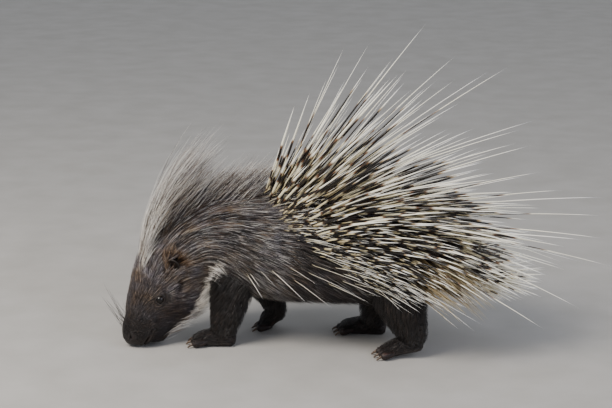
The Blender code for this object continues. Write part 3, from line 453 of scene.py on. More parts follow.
# Shallow wrinkles cross the nose and run back from the corner of the mouth.
wrinkle = np.sin(ahead * 2 * math.pi / WRINKLE_PITCH)
nose_distance = np.linalg.norm(away - mouth_forward * 0.004, axis=1)
raised += WRINKLE_HEIGHT * wrinkle * bell(nose_distance, WRINKLE_REACH)
points += normals * raised[:, None]
points[:, 2] = np.maximum(points[:, 2], FLOOR_CLEAR)
skin.data.vertices.foreach_set("co", points.ravel())

# The head keeps its fine mesh; the rest, which the coat covers, is thinned.
fine = skin.vertex_groups.new(name="thinned")
head_share = np.clip((points[:, 0] - HEAD_END) / 0.05, 0.0, 1.0)
foot_share = np.clip((points[:, 2] - 0.025) / 0.02, 0.0, 1.0)
for k, weight in enumerate(head_share * (0.25 + 0.75 * foot_share)):
    fine.add([k], float(weight), "REPLACE")
thin = skin.modifiers.new("thin", "DECIMATE")
thin.vertex_group = "thinned"
thin.vertex_group_factor = 1.0
thin.ratio = SKIN_FACES * 2 / sum(len(face.vertices) - 2 for face in skin.data.polygons)
applied(skin)
skin.vertex_groups.clear()

# The unwrap of hide and coat: the trunk lies along the sheet, the belly's seam at its edges, legs above it.
SHEET_MARGIN, SHEET_LOW, SHEET_TALL, SHEET_WIDE = 0.02, 0.02, 0.54, 0.96
LEG_COLUMN, LEG_LOW, LEG_TALL, LEG_WIDE = 0.245, 0.62, 0.18, 0.22
SOLE_LOW, SOLE_TALL = 0.83, 0.14
SEAM_PATCH = np.array([(0.0, 0.0), (0.001, 0.0), (0.0, 0.001), (0.001, 0.001)])


def on_sheet(body, place, angle):
    """The place on the unwrap of a point of the trunk, a leg or a foot."""
    last = len(bodies[body]) - 1
    height = np.asarray(angle) / (2 * math.pi) + 0.5
    if body == "trunk":
        return np.stack((SHEET_MARGIN + SHEET_WIDE * place / last, SHEET_LOW + SHEET_TALL * height), -1)
    kind, name = body.split("/")
    column = SHEET_MARGIN + LEG_COLUMN * list(FEET).index(name)
    low, tall = (LEG_LOW, LEG_TALL) if kind == "leg" else (SOLE_LOW, SOLE_TALL)
    return np.stack((column + LEG_WIDE * place / last, low + tall * height), -1)


def station_step(table, place):
    """The length of a fifth of the way from one station to the next, at places along a table."""
    return np.linalg.norm(stations(table, place + 0.1)[:, :3] - stations(table, place - 0.1)[:, :3], axis=1)


def unwrapped(piece):
    """Gives the hide its OFBake map, each vertex at its place on the trunk, leg or foot it is nearest to."""
    samples = []
    for body, table in bodies.items():
        for place in np.linspace(0, len(table) - 1, 8 * (len(table) - 1) + 1):
            angles = np.linspace(-math.pi, math.pi, 33)[:-1]
            for angle, point in zip(angles, on_body(table, np.full(32, place), angles)):
                samples.append((body, place, angle, point))
    tree = KDTree(len(samples))
    for k, sample in enumerate(samples):
        tree.insert(sample[3], k)
    tree.balance()
    mesh = piece.data
    names = list(bodies)
    spots = vertices_of(mesh)
    nearest = [samples[tree.find(spot)[1]] for spot in spots]
    owners = np.array([names.index(sample[0]) for sample in nearest])
    place = np.array([sample[1] for sample in nearest])
    angle = np.zeros(len(spots))
    for k, table in enumerate(bodies.values()):
        mine = owners == k
        forward, left, up, here = sections(table, place[mine])
        away = spots[mine] - here[:, :3]
        tall = np.where(np.sum(away * up, 1) > 0, here[:, 5], here[:, 6])
        angle[mine] = np.arctan2(np.sum(away * left, 1) / here[:, 4], np.sum(away * up, 1) / tall)
        rate = np.maximum(station_step(table, place[mine]), 1e-4)
        place[mine] = np.clip(place[mine] + np.sum(away * forward, 1) * 0.2 / rate, 0, len(table) - 1)
    flat = np.zeros((len(mesh.loops), 2))
    for face in mesh.polygons:
        corners = list(face.vertices)
        owner = owners[corners[0]]
        turns = angle[corners].copy()
        if turns.max() - turns.min() > math.pi:
            turns[turns < 0] += 2 * math.pi
        spot = np.array([on_sheet(names[owner], place[c], turn) for c, turn in zip(corners, turns)])
        if any(owners[c] != owner for c in corners):
            spot = spot[0] + SEAM_PATCH[: len(corners)]
        flat[face.loop_start : face.loop_start + len(corners)] = spot
    mesh.uv_layers.new(name="OFBake").uv.foreach_set("vector", flat.ravel())


unwrapped(skin)


def linear(code):
    """An sRGB hex colour as linear values."""
    parts = [int(code[k : k + 2], 16) / 255 for k in (1, 3, 5)]
    return [*(v / 12.92 if v <= 0.04045 else ((v + 0.055) / 1.055) ** 2.4 for v in parts), 1.0]


def add(tree, kind, settings=None, stops=(), **inputs):
    """Adds a node with its settings and, on a colour ramp, its stops of position and hex colour.

    Each input is a value or a socket to link, named as in the editor, or i and its number where names repeat.
    """
    node = tree.nodes.new(kind)
    for name, value in (settings or {}).items():
        setattr(node, name, value)
    if stops:
        elements = node.color_ramp.elements
        while len(elements) < len(stops):
            elements.new(0.5)
        for element, (position, code) in zip(elements, stops):
            element.position = position
            element.color = linear(code)
    for name, value in inputs.items():
        socket = node.inputs[int(name[1:]) if name[1:].isdigit() else name.replace("_", " ")]
        if isinstance(value, bpy.types.NodeSocket):
            tree.links.new(value, socket)
        else:
            socket.default_value = value
    return node


def new_material(name):
    """A material with only its Principled shader."""
    made = bpy.data.materials.new(name)
    made.use_nodes = True
    return made, made.node_tree, made.node_tree.nodes["Principled BSDF"]


# Hide: dark, dull leather with fine creases every 2 mm or so, a little shine on bare places.
BLEND = {"data_type": "RGBA"}
WEIGHTED_SUM = {"operation": "MULTIPLY_ADD"}
hide, tree, shader = new_material("dark hide with short fur")
where = add(tree, "ShaderNodeTexCoord").outputs["Object"]
mark = add(tree, "ShaderNodeAttribute", {"attribute_name": "marks"})
parts = add(tree, "ShaderNodeSeparateXYZ", Vector=mark.outputs["Vector"]).outputs
mottle = add(tree, "ShaderNodeTexNoise", Vector=where, Scale=95.0, Detail=5.0, Roughness=0.62).outputs["Fac"]
covered = [(0.30, "#130e0c"), (0.52, "#1f1814"), (0.75, "#2d231e")]
covered = add(tree, "ShaderNodeValToRGB", stops=covered, Fac=mottle).outputs["Color"]
bare = [(0.30, "#0d0a09"), (0.60, "#1c1514"), (0.85, "#382a26")]
bare = add(tree, "ShaderNodeValToRGB", stops=bare, Fac=mottle).outputs["Color"]
toes = [(0.30, "#15100e"), (0.55, "#2c201c"), (0.80, "#523b33")]
toes = add(tree, "ShaderNodeValToRGB", stops=toes, Fac=mottle).outputs["Color"]
colour = add(tree, "ShaderNodeMix", BLEND, Factor=parts["X"], i6=covered, i7=bare).outputs[2]
colour = add(tree, "ShaderNodeMix", BLEND, Factor=parts["Y"], i6=colour, i7=toes).outputs[2]
tree.links.new(colour, shader.inputs["Base Color"])
crease = add(tree, "ShaderNodeTexVoronoi", {"feature": "DISTANCE_TO_EDGE"}, Vector=where, Scale=480.0)
fuzz = add(tree, "ShaderNodeTexNoise", Vector=where, Scale=700.0, Detail=3.0).outputs["Fac"]
relief = add(tree, "ShaderNodeMath", WEIGHTED_SUM, i0=crease.outputs["Distance"], i1=0.8, i2=fuzz).outputs[0]
bump = add(tree, "ShaderNodeBump", Strength=0.55, Distance=0.0006, Height=relief)
tree.links.new(bump.outputs["Normal"], shader.inputs["Normal"])
shader.inputs["Roughness"].default_value = 0.52
shader.inputs["Specular IOR Level"].default_value = 0.4

# The hide is marked with how bare it is round the nose and on the toes.
spots = vertices_of(skin.data)
nose_mark = bell(np.linalg.norm(spots - on_body(trunk, 17.2, 0.0), axis=-1), 0.050)
toe_mark = np.clip((0.030 - spots[:, 2]) / 0.02, 0.0, 1.0) * (spots[:, 0] > NOSE_HAIR_END)
marks = skin.data.attributes.new("marks", "FLOAT_VECTOR", "POINT")
values = np.stack((nose_mark, toe_mark, 0 * toe_mark), 1)
marks.data.foreach_set("vector", values.astype(np.float32).ravel())
skin.data.materials.clear()
skin.data.materials.append(hide)
skin.data.shade_smooth()
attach(skin, "root")
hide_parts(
    "head", "neck", "torso", "tail", "leg_front_left", "leg_front_right", "leg_hind_left",
    "leg_hind_right", "ear_left", "ear_right",
)

# Eyes
# The small eyeballs are near black, wet and clear as glass, set between the lids with most of each hidden.
EYE_RADIUS = 0.0088
eye_finish, tree, shader = new_material("wet dark eye")
where = add(tree, "ShaderNodeTexCoord").outputs["Object"]
cloud = add(tree, "ShaderNodeTexNoise", Vector=where, Scale=300.0, Detail=2.0).outputs["Fac"]
iris = add(tree, "ShaderNodeValToRGB", stops=[(0.35, "#050404"), (0.70, "#140d0a")], Fac=cloud)
tree.links.new(iris.outputs["Color"], shader.inputs["Base Color"])
shader.inputs["Roughness"].default_value = 0.07
shader.inputs["Specular IOR Level"].default_value = 0.36
for label, side in (("left", 1), ("right", -1)):
    low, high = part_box("eye_" + label)
    bm = bmesh.new()
    axes = surface_axes(EYE_PLACE, side * EYE_ANGLE)
    ellipsoid(bm, (low + high) / 2, (EYE_RADIUS,) * 3, axes, 32, 20)
    ball = new_piece("eyeball_" + label, bm)
    ball.data.materials.append(eye_finish)
    ball.data.shade_smooth()
    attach(ball, "root")
    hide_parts("eye_" + label)

# Claws
# Blunt, dark brown horn with a paler mottled grain, a curved cone on the end of each toe.
horn, tree, shader = new_material("brown claw horn")
where = add(tree, "ShaderNodeTexCoord").outputs["Object"]
grain = add(tree, "ShaderNodeTexNoise", Vector=where, Scale=420.0, Detail=4.0).outputs["Fac"]
browns = [(0.25, "#2b201a"), (0.55, "#574638"), (0.85, "#917b66")]
browns = add(tree, "ShaderNodeValToRGB", stops=browns, Fac=grain).outputs["Color"]
tree.links.new(browns, shader.inputs["Base Color"])
bump = add(tree, "ShaderNodeBump", Strength=0.3, Distance=0.0003, Height=grain)
tree.links.new(bump.outputs["Normal"], shader.inputs["Normal"])
shader.inputs["Roughness"].default_value = 0.38
CLAW_LENGTH, CLAW_RADIUS, CLAW_RINGS = 0.011, 0.0030, 9
# The claw starts inside the toe, at this height, bows up a little and then drops to its tip.
CLAW_INSIDE, CLAW_HEIGHT, CLAW_BOW, CLAW_DROP = 0.004, 0.0078, 0.0012, 0.0060
for name, (_, _, heel, ball_point, _, toes) in FEET.items():
    bm = bmesh.new()
    for root, aim, length in toe_lines(heel, ball_point, toes):
        line, radii = [], []
        for k in range(CLAW_RINGS):
            share = k / (CLAW_RINGS - 1)
            reach = length - CLAW_INSIDE + (CLAW_LENGTH + 0.003) * share
            height = CLAW_HEIGHT + CLAW_BOW * math.sin(math.pi * share) - CLAW_DROP * share**1.6
            line.append(root + aim * reach + Vector((0, 0, height)))
            radii.append(CLAW_RADIUS * (1.05 - 0.62 * share**1.7))
        tube(bm, line, radii, 10)
    bmesh.ops.recalc_face_normals(bm, faces=bm.faces)
    claws = new_piece("claws_" + name, bm)
    claws.data.materials.append(horn)
    claws.data.shade_smooth()
    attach(claws, "root")

# Fur
# The body carries stiff, flattened hairs in fine locks, near black brown with paler ones among them. They are
# short on face and feet and long on neck, shoulders and flanks, where they lie back in streaks and layers.
# Each tuft is drawn a millimetre or so wide, coarser than a hair, so that it shows.
PATCH = 0.003
HAIR_FLATNESS = 0.4
# The mean distance between two stations of the trunk and its mean radius scale the streaks of the coat.
STATION_LENGTH, BODY_RADIUS = 0.050, 0.090
ACROSS = np.array((0.0, 1.0, 0.0))


def strand_piece(name, lines, wide, thick, across, data, patch, finish, sides=3, size=(PATCH, PATCH)):
    """One mesh of many tapered closed strands.

    lines holds each strand's points from root to tip, wide and thick its half sizes at all but the tip,
    across the direction of its width, data three values at every point, patch its place on the unwrap and
    size the patch's size there.
    """
    count, steps, _ = lines.shape
    before = np.concatenate((lines[:, :1], lines[:, :-2]), 1)
    along = unit(lines[:, 1:] - before)
    across = np.broadcast_to(across, (count, 3))[:, None, :]
    side = unit(across - along * np.sum(across * along, -1, keepdims=True))
    face = np.cross(along, side)
    turns = 2 * math.pi * np.arange(sides) / sides
    rings = lines[:, :-1, None, :] + side[:, :, None, :] * (wide[:, :, None] * np.cos(turns))[..., None]
    rings = rings + face[:, :, None, :] * (thick[:, :, None] * np.sin(turns))[..., None]
    own = (steps - 1) * sides + 1
    verts = np.concatenate((rings.reshape(count, -1, 3), lines[:, -1:]), 1)
    verts[..., 2] = np.maximum(verts[..., 2], FLOOR_CLEAR)
    values = np.repeat(data[:, :-1, None, :], sides, 2).reshape(count, -1, 3)
    values = np.concatenate((values, data[:, -1:]), 1)
    # The faces of one strand: quads up its sides, triangles at the tip and a lid on the root.
    corners, starts, flat = [], [], []
    for k in range(steps - 2):
        for j in range(sides):
            n = (j + 1) % sides
            starts.append(len(corners))
            corners += [k * sides + j, k * sides + n, (k + 1) * sides + n, (k + 1) * sides + j]
            flat += [(j, k), (j + 1, k), (j + 1, k + 1), (j, k + 1)]
    for j in range(sides):
        starts.append(len(corners))
        corners += [(steps - 2) * sides + j, (steps - 2) * sides + (j + 1) % sides, own - 1]
        flat += [(j, steps - 2), (j + 1, steps - 2), (j + 0.5, steps - 1)]
    starts.append(len(corners))
    corners += list(range(sides))[::-1]
    flat += [(j, 0.3 * (j % 2)) for j in range(sides)][::-1]
    offsets = np.arange(count)[:, None]
    vertex_indices = np.array(corners)[None] + offsets * own
    loop_starts = np.array(starts)[None] + offsets * len(corners)
    sheet = patch[:, None, :] + (np.array(flat, float) / (sides, steps - 1))[None] * np.array(size)
    mesh = bpy.data.meshes.new(name)
    mesh.vertices.add(count * own)
    mesh.vertices.foreach_set("co", verts.astype(np.float32).ravel())
    mesh.loops.add(count * len(corners))
    mesh.loops.foreach_set("vertex_index", vertex_indices.astype(np.int32).ravel())
    mesh.polygons.add(count * len(starts))
    mesh.polygons.foreach_set("loop_start", loop_starts.astype(np.int32).ravel())
    mesh.update(calc_edges=True)
    stored = mesh.attributes.new("strand", "FLOAT_VECTOR", "POINT")
    stored.data.foreach_set("vector", values.astype(np.float32).ravel())
    unwrap = mesh.uv_layers.new(name="OFBake")
    unwrap.uv.foreach_set("vector", np.clip(sheet, 0.0, 1.0).astype(np.float32).ravel())
    mesh.materials.append(finish)
    mesh.shade_smooth()
    piece = new_piece(name, mesh=mesh)
    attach(piece, "root")


def strand_data(shares, tone, kind):
    """What the strands' material reads at every point: the share of the length, the tone and the kind."""
    return np.stack(np.broadcast_arrays(shares[None], tone, kind), -1)


def rooted(body, rng, count, places, angles, keep=None):
    """Random roots, even over the skin between two places and between two angles on both sides."""
    table = bodies[body]
    found = [np.zeros((0, 2))]
    while sum(map(len, found)) < count:
        place = rng.uniform(*places, 4 * count)
        angle = rng.uniform(*angles, 4 * count) * rng.choice((-1.0, 1.0), 4 * count)
        here = stations(table, place)
        area = station_step(table, place) * (here[:, 4] + (here[:, 5] + here[:, 6]) / 2)
        good = rng.random(4 * count) < area / area.max()
        if keep is not None:
            good &= keep(place, angle)
        found.append(np.stack((place[good], angle[good]), 1))
    found = np.concatenate(found)[:count]
    return found[:, 0], found[:, 1]


def patchy(spots, size, shift=0.0):
    """Smooth random values from -1 to 1, alike within about the given size."""
    return np.array([noise.noise(Vector(spot) / size + Vector((shift, shift, shift))) for spot in spots])


def skin_rate(table, place, angle, along, around):
    """How far the skin runs in one station along the body or one radian round it."""
    ahead = on_body(table, place + along, angle + around)
    behind = on_body(table, place - along, angle - around)
    return np.linalg.norm(ahead - behind, axis=1) / (2 * (along + around))


def laid_lines(table, place, angle, heading, length, rise, steps, backwards):
    """Points of strands that leave the skin and lie along it.

    heading turns them from straight along the body towards its underside, in degrees; rise is how far the tip
    stands over the coat's core.
    """
    place, angle = place.copy(), angle.copy()
    side = np.where(angle > 0, 1.0, -1.0)
    turn = np.radians(heading)
    step = length / steps
    lines = []
    for k in range(steps + 1):
        core = stations(table, place)[:, 7]
        lift = (core + rise) * (k / steps) ** 0.75 - 0.0012 * (k == 0)
        lines.append(on_body(table, place, angle, lift))
        rate = np.maximum(skin_rate(table, place, angle, 0.02, 0.0), 0.004)
        swing = np.maximum(skin_rate(table, place, angle, 0.0, 0.02), 0.008)
        place = place + (-1 if backwards else 1) * np.cos(turn) * step / rate
        angle = angle + side * np.sin(turn) * step / swing
    return np.stack(lines, 1)


def streaks(place, angle, heading, wide, long):
    """Smooth random values from -1 to 1 that run in streaks along the lie of the hair."""
    turn = np.radians(heading) * np.sign(angle)
    down, across = place * STATION_LENGTH, angle * BODY_RADIUS
    run = (down * np.cos(turn) - across * np.sin(turn)) / long
    side = (down * np.sin(turn) + across * np.cos(turn)) / wide
    return np.array([noise.noise(Vector((a, b, 3.0))) for a, b in zip(run, side)])


def fur(name, body, rng, place, angle, heading, length, rise, half_width, pale=0.0,
        backwards=True, steps=3, dark=0.0, sway=8.0, stray=4.0, contrast=0.36, streak=(0.006, 0.060)):
    """A piece of fur with the given roots, lie, length and paleness, of one value each or one for every tuft.

    pale is 0 to 1, or 2 for rust brown; dark darkens the whole piece. sway turns whole locks and stray single
    tufts, in degrees; contrast is how far dark and pale streaks differ, and streak their width and length.
    """
    table, count = bodies[body], len(place)
    spots = on_body(table, place, angle)
    tone = 0.42 + contrast * streaks(place, angle, heading, *streak) + rng.normal(0, 0.13, count) - dark
    heading = heading + sway * patchy(spots, 0.040) + rng.normal(0, stray, count)
    length = length * rng.uniform(0.72, 1.12, count)
    rise = rise * (0.35 + rng.random(count) + 0.35 * patchy(spots, 0.012, 5.0))
    lines = laid_lines(table, place, angle, heading, length, rise, steps, backwards)
    shares = np.linspace(0, 1, steps + 1)
    taper = np.interp(shares[:-1], (0, 0.35, 1), (0.75, 1.0, 0.35))
    wide = half_width * rng.uniform(0.7, 1.25, (count, 1)) * taper
    across = unit(np.cross(lines[:, 1] - lines[:, 0], outward(table, place, angle)))
    pale = np.broadcast_to(pale, count)[:, None]
    paleness = np.clip(pale, 0.0, 1.0) * np.interp(shares, (0.0, 0.35, 1.0), (0.0, 0.55, 1.0))
    data = strand_data(shares, np.clip(tone, 0.0, 1.0)[:, None], np.where(pale > 1.5, 2.0, paleness))
    patch = on_sheet(body, place, angle)
    strand_piece(name, lines, wide, wide * HAIR_FLATNESS, across, data, patch, hair)


def some_pale(count, share, low, high):
    """Paleness of tufts of which a share is pale, between low and high."""
    return np.where(rng.random(count) < share, rng.uniform(low, high, count), 0.0)


# Hair: flattened keratin, smooth and a little greasy, so it shines in streaks where it turns to the sky.
# Tufts run from warm golden brown to cool grey brown over a few centimetres, the cool ones partly a painted
# lilac sky sheen.
ABOVE = {"operation": "GREATER_THAN"}
LESS = {"operation": "SUBTRACT", "use_clamp": True}
hair, tree, shader = new_material("dark bristly hair")
mark = add(tree, "ShaderNodeAttribute", {"attribute_name": "strand"})
parts = add(tree, "ShaderNodeSeparateXYZ", Vector=mark.outputs["Vector"]).outputs
value = add(tree, "ShaderNodeMath", WEIGHTED_SUM, i0=parts["X"], i1=0.24, i2=parts["Y"]).outputs[0]
where = add(tree, "ShaderNodeTexCoord").outputs["Object"]
warmth = add(tree, "ShaderNodeTexNoise", Vector=where, Scale=26.0, Detail=4.0, Roughness=0.7).outputs["Fac"]
warmth = add(tree, "ShaderNodeMapRange", Value=warmth, From_Min=0.38, From_Max=0.62).outputs[0]
warm = [(0.05, "#0e0b0a"), (0.30, "#271f1b"), (0.55, "#53443a"), (0.78, "#9c8469"), (1.0, "#dccaab")]
warm = add(tree, "ShaderNodeValToRGB", stops=warm, Fac=value).outputs["Color"]
# The cool ramp is partly the hair's own grey brown, partly a painted bluish-lilac sheen of the sky on glossy
# hair.
cool_and_sheen = [(0.05, "#0c0b0c"), (0.30, "#231f20"), (0.55, "#4b4547"), (0.78, "#8d8489"), (1.0, "#d4cdd0")]
cool_and_sheen = add(tree, "ShaderNodeValToRGB", stops=cool_and_sheen, Fac=value).outputs["Color"]
colour = add(tree, "ShaderNodeMix", BLEND, Factor=warmth, i6=cool_and_sheen, i7=warm).outputs[2]
# Strands marked with 2 are rust brown, as round the ears; below that the mark whitens a strand.
rust = [(0.05, "#140e0a"), (0.30, "#30231a"), (0.60, "#604836"), (1.0, "#a0866a")]
rust = add(tree, "ShaderNodeValToRGB", stops=rust, Fac=value).outputs["Color"]
rusty = add(tree, "ShaderNodeMath", ABOVE, i0=parts["Z"], i1=1.5).outputs[0]
white = add(tree, "ShaderNodeMath", LESS, i0=parts["Z"], i1=rusty).outputs[0]
white = add(tree, "ShaderNodeMath", LESS, i0=white, i1=rusty).outputs[0]
colour = add(tree, "ShaderNodeMix", BLEND, Factor=rusty, i6=colour, i7=rust).outputs[2]
colour = add(tree, "ShaderNodeMix", BLEND, Factor=white, i6=colour, i7=linear("#f4f0e8")).outputs[2]
tree.links.new(colour, shader.inputs["Base Color"])
shader.inputs["Roughness"].default_value = 0.42
shader.inputs["Specular IOR Level"].default_value = 0.55

rng = np.random.default_rng(SEED)
# How far the tips stand over the head, at places along it.
FACE_RISE = ((11.0, 13.0, 15.0, 18.0), (0.0060, 0.0022, 0.0014, 0.0008))
# What stays bare: radii round eye, ear and nostril, half the height of the mouth, and the nose pad.
BARE_EYE, BARE_EAR, BARE_NOSTRIL, BARE_MOUTH = (0.0118, 0.0094), 0.0125, 0.0085, 0.0040
NOSE_PAD_PLACE, NOSE_PAD_ANGLE = 17.35, 85 * DEGREE


def clear_of_features(place, angle):
    """Whether a root on the head keeps off eyes, lids, ears, nostrils, lips and nose pad."""
    spots = on_body(trunk, place, angle, stations(trunk, place)[:, 7])
    good = np.ones(len(place), bool)
    for side in (1, -1):
        along, across, out = (np.array(axis) for axis in surface_axes(EYE_PLACE, side * EYE_ANGLE))
        away = spots - on_body(trunk, EYE_PLACE, side * EYE_ANGLE, stations(trunk, EYE_PLACE)[7])
        good &= np.hypot(away @ along / BARE_EYE[0], away @ across / BARE_EYE[1]) > 1.0
        away = spots - on_body(trunk, EAR_PLACE, side * EAR_ANGLE, EAR_LIFT)
        good &= np.linalg.norm(away, axis=1) > BARE_EAR
        away = spots - on_body(trunk, NOSTRIL_PLACE, side * NOSTRIL_ANGLE)
        good &= np.linalg.norm(away, axis=1) > BARE_NOSTRIL
    away = spots - mouth_middle
    good &= ~((np.abs(away @ mouth_up) < BARE_MOUTH) & (away @ mouth_forward > MOUTH_BACK))
    return good & ((place < NOSE_PAD_PLACE) | (np.abs(angle) > NOSE_PAD_ANGLE))


def down_the_side(angle, start, width):
    """Nothing above an angle from the back's middle, in degrees, rising to one over a width."""
    return np.clip((np.abs(angle) / DEGREE - start) / width, 0, 1)


place, angle = rooted("trunk", rng, 18500, (13.0, 17.95), (0.0, math.pi), clear_of_features)
cheek = down_the_side(angle, 35, 60)
heading = 46.0 * cheek * np.clip((17.6 - place) / 2.0, 0.2, 1.0)
length = np.interp(place, (13.0, 14.5, 16.0, 18.0), (0.0230, 0.0150, 0.0095, 0.0060)) * (1 + 0.5 * cheek)
dark = np.interp(place, (13.0, 14.5, 17.0), (0.06, 0.15, 0.44))
fur("fur_face", "trunk", rng, place, angle, heading, length, np.interp(place, *FACE_RISE), 0.00032, steps=2,
    sway=5.0, stray=3.5, contrast=0.22, streak=(0.0030, 0.030), dark=dark)

place, angle = rooted("trunk", rng, 12000, (11.0, 13.1), (0.0, math.pi), clear_of_features)
heading = 40.0 * down_the_side(angle, 35, 60) * np.clip((place - 10.6) / 1.6, 0.0, 1.0)
length = np.interp(place, (11.0, 12.0, 13.0), (0.052, 0.036, 0.024))
rise = np.interp(place, *FACE_RISE)
# Hairs in front of an ear are short enough to leave its dark cup open.
EAR_OPENING, CUP_LIFT, SHORTENED = 0.013, 0.012, 0.40
lines = laid_lines(trunk, place, angle, heading, length, rise, 3, True)
for side in (1, -1):
    cup = on_body(trunk, np.float64(EAR_PLACE), side * EAR_ANGLE, CUP_LIFT)
    length = np.where(np.linalg.norm(lines - cup, axis=2).min(1) < EAR_OPENING, SHORTENED * length, length)
pale = some_pale(len(place), 0.10, 0.2, 0.7)
fur("fur_crown_and_cheeks", "trunk", rng, place, angle, heading, length, rise, 0.00044, pale, sway=6.0,
    contrast=0.34, streak=(0.004, 0.040), dark=0.02)

place, angle = rooted("trunk", rng, 12200, (9.1, 11.2), (0.0, math.pi))
heading = 2.0 + 12.0 * down_the_side(angle, 100, 60)
pale = some_pale(len(place), 0.20, 0.3, 0.95)
pale = np.where((np.abs(angle) < 75 * DEGREE) & (rng.random(len(place)) < 0.22), 2.0, pale)
fur("fur_neck", "trunk", rng, place, angle, heading, 0.068, 0.009, 0.00058, pale, sway=5.0, stray=3.0,
    contrast=0.70, dark=0.13, streak=(0.004, 0.070))

place, angle = rooted("trunk", rng, 12200, (7.1, 9.2), (0.0, math.pi))
heading = 2.0 + 18.0 * down_the_side(angle, 60, 70)
pale = some_pale(len(place), 0.23, 0.3, 1.0)
fur("fur_shoulders", "trunk", rng, place, angle, heading, 0.076, 0.010, 0.00064, pale, sway=6.0, stray=3.0,
    contrast=0.70, dark=0.15, streak=(0.004, 0.070))

place, angle = rooted("trunk", rng, 12200, (2.6, 7.2), (55 * DEGREE, math.pi))
heading = 12.0 + 14.0 * down_the_side(angle, 60, 60)
length = 0.064 - 0.018 * down_the_side(angle, 130, 50)
pale = some_pale(len(place), 0.05, 0.2, 0.7)
fur("fur_flanks", "trunk", rng, place, angle, heading, length, 0.009, 0.00070, pale, contrast=0.50, dark=0.25)

place, angle = rooted("trunk", rng, 5000, (0.4, 7.2), (0.0, 75 * DEGREE))
fur("fur_back", "trunk", rng, place, angle, 4.0, 0.048, 0.010, 0.00095, dark=0.14)

# A half collar of short white bristles runs from the throat up the side of the neck, and pale ones
# hang from the chin.
COLLAR_COUNT, CHIN_COUNT = 620, 210
COLLAR_LINE = ((9.4, 9.8, 10.7, 11.7, 12.8, 13.3), (104, 119, 133, 142, 150, 156))
share = rng.uniform(0.0, 1.0, COLLAR_COUNT) ** 0.8
place = COLLAR_LINE[0][0] + share * (COLLAR_LINE[0][-1] - COLLAR_LINE[0][0])
angle = np.interp(place, *COLLAR_LINE) + rng.normal(0, 4.0, COLLAR_COUNT)
angle = np.clip(angle, 90, 179) * DEGREE * rng.choice((-1, 1), COLLAR_COUNT)
place = place + rng.normal(0, 0.10, COLLAR_COUNT)
fur("collar", "trunk", rng, place, angle, -4.0, 0.034, 0.021, 0.00090, 1.0, stray=7.0, dark=-0.35)
place, angle = rooted("trunk", rng, CHIN_COUNT, (12.4, 16.2), (140 * DEGREE, math.pi))
pale = np.where(rng.random(CHIN_COUNT) < 0.75, 1.0, 0.0)
fur("chin_bristles", "trunk", rng, place, angle, 20.0, 0.040, 0.017, 0.00080, pale, stray=11.0, dark=-0.2)

# Warm brown tufts stand round each ear.
EAR_TUFTS, EAR_RING = 300, (0.30, 0.20)
around = rng.uniform(-math.pi, 0.40 * math.pi, EAR_TUFTS)
spread = rng.uniform(0.90, 1.5, EAR_TUFTS)
side = rng.choice((-1.0, 1.0), EAR_TUFTS)
place = EAR_PLACE - EAR_RING[0] * np.cos(around) * spread
angle = side * (EAR_ANGLE + EAR_RING[1] * np.sin(around) * spread)
fur("fur_ears", "trunk", rng, place, angle, 20.0 * np.sin(around), 0.026, 0.013, 0.00046, 2.0, stray=10.0,
    dark=-0.10)

# Legs and feet carry short, nearly black hair that lies down the leg and forwards over the foot. Toes have
# the shortest hair, which leaves only their tips and claws bare.
LEG_DARK, FORE_TOE_HAIRS, HIND_TOE_HAIRS, TOE_HAIR_HALF = 0.42, 260, 130, 0.00040
# The hair's root over the sole and round the toe, and how far it runs ahead, rises and falls in each step.
TOE_MIDDLE, TOE_ROUND, HAIR_AHEAD, HAIR_RISE, HAIR_FALL = (0.0, 0.0, 0.0088), 0.0072, 0.0028, 0.0007, 0.0006
for name in FEET:
    body = "leg/" + name
    place, angle = rooted(body, rng, 3000, (0.6, len(bodies[body]) - 1.1), (0.0, math.pi))
    length = np.interp(place, (0.6, 2.5, 5.0), (0.036, 0.020, 0.010))
    rise = np.interp(place, (0.6, 5.0), (0.004, 0.0012))
    fur("fur_leg_" + name, body, rng, place, angle, -18.0, length, rise, 0.00055,
        backwards=False, dark=LEG_DARK)
    body = "sole/" + name
    place, angle = rooted(body, rng, 1700, (0.1, 3.9), (0.0, 112 * DEGREE))
    fur("fur_foot_" + name, body, rng, place, angle, 8.0, 0.011, 0.0014, 0.00042,
        backwards=False, dark=LEG_DARK)
    lines, patches = [], []
    count = FORE_TOE_HAIRS if "front" in name else HIND_TOE_HAIRS
    for root, aim, reach in toe_lines(*FEET[name][2:4], FEET[name][5]):
        share, around = rng.uniform(-0.5, 0.82, count), rng.uniform(-100, 100, count) * DEGREE
        aside, aim = np.array(aim.cross(UP)), np.array(aim)
        out = aside * np.sin(around)[:, None] + np.array(UP) * np.cos(around)[:, None]
        start = np.array(root) + aim * (reach * share)[:, None] + TOE_MIDDLE + out * TOE_ROUND
        for k in range(3):
            lines.append(start + aim * HAIR_AHEAD * k + out * HAIR_RISE * k - (0.0, 0.0, HAIR_FALL * k * k))
        patches.append(on_sheet(body, 3.9 + 0 * share, around))
    lines = np.stack([np.concatenate(lines[k::3]) for k in range(3)], 1)
    wide = TOE_HAIR_HALF * rng.uniform(0.7, 1.2, (len(lines), 1)) * np.array((1.0, 0.7))
    tone = np.clip(rng.normal(0.14, 0.10, (len(lines), 1)), 0, 1)
    data = strand_data(np.array((0.0, 0.5, 1.0)), tone, 0.0)
    patches = np.concatenate(patches)
    strand_piece("fur_toes_" + name, lines, wide, wide * 0.5, ACROSS, data, patches, hair)

# Crest
# From the crown to between the shoulders stand long, thin, flexible bristles, dark at the root and grey or
# white towards the tip. They rise steeply and then bend back; the front ones are nearly all white.
CREST_LIE = (
    (8.2, 50, 40, 0.115),
    (9.0, 54, 42, 0.110),
    (9.8, 60, 46, 0.130),
    (10.5, 70, 46, 0.215),
    (11.2, 78, 42, 0.280),
    (11.7, 86, 42, 0.285),
    (12.1, 80, 50, 0.120),
    (12.5, 74, 54, 0.060),
)
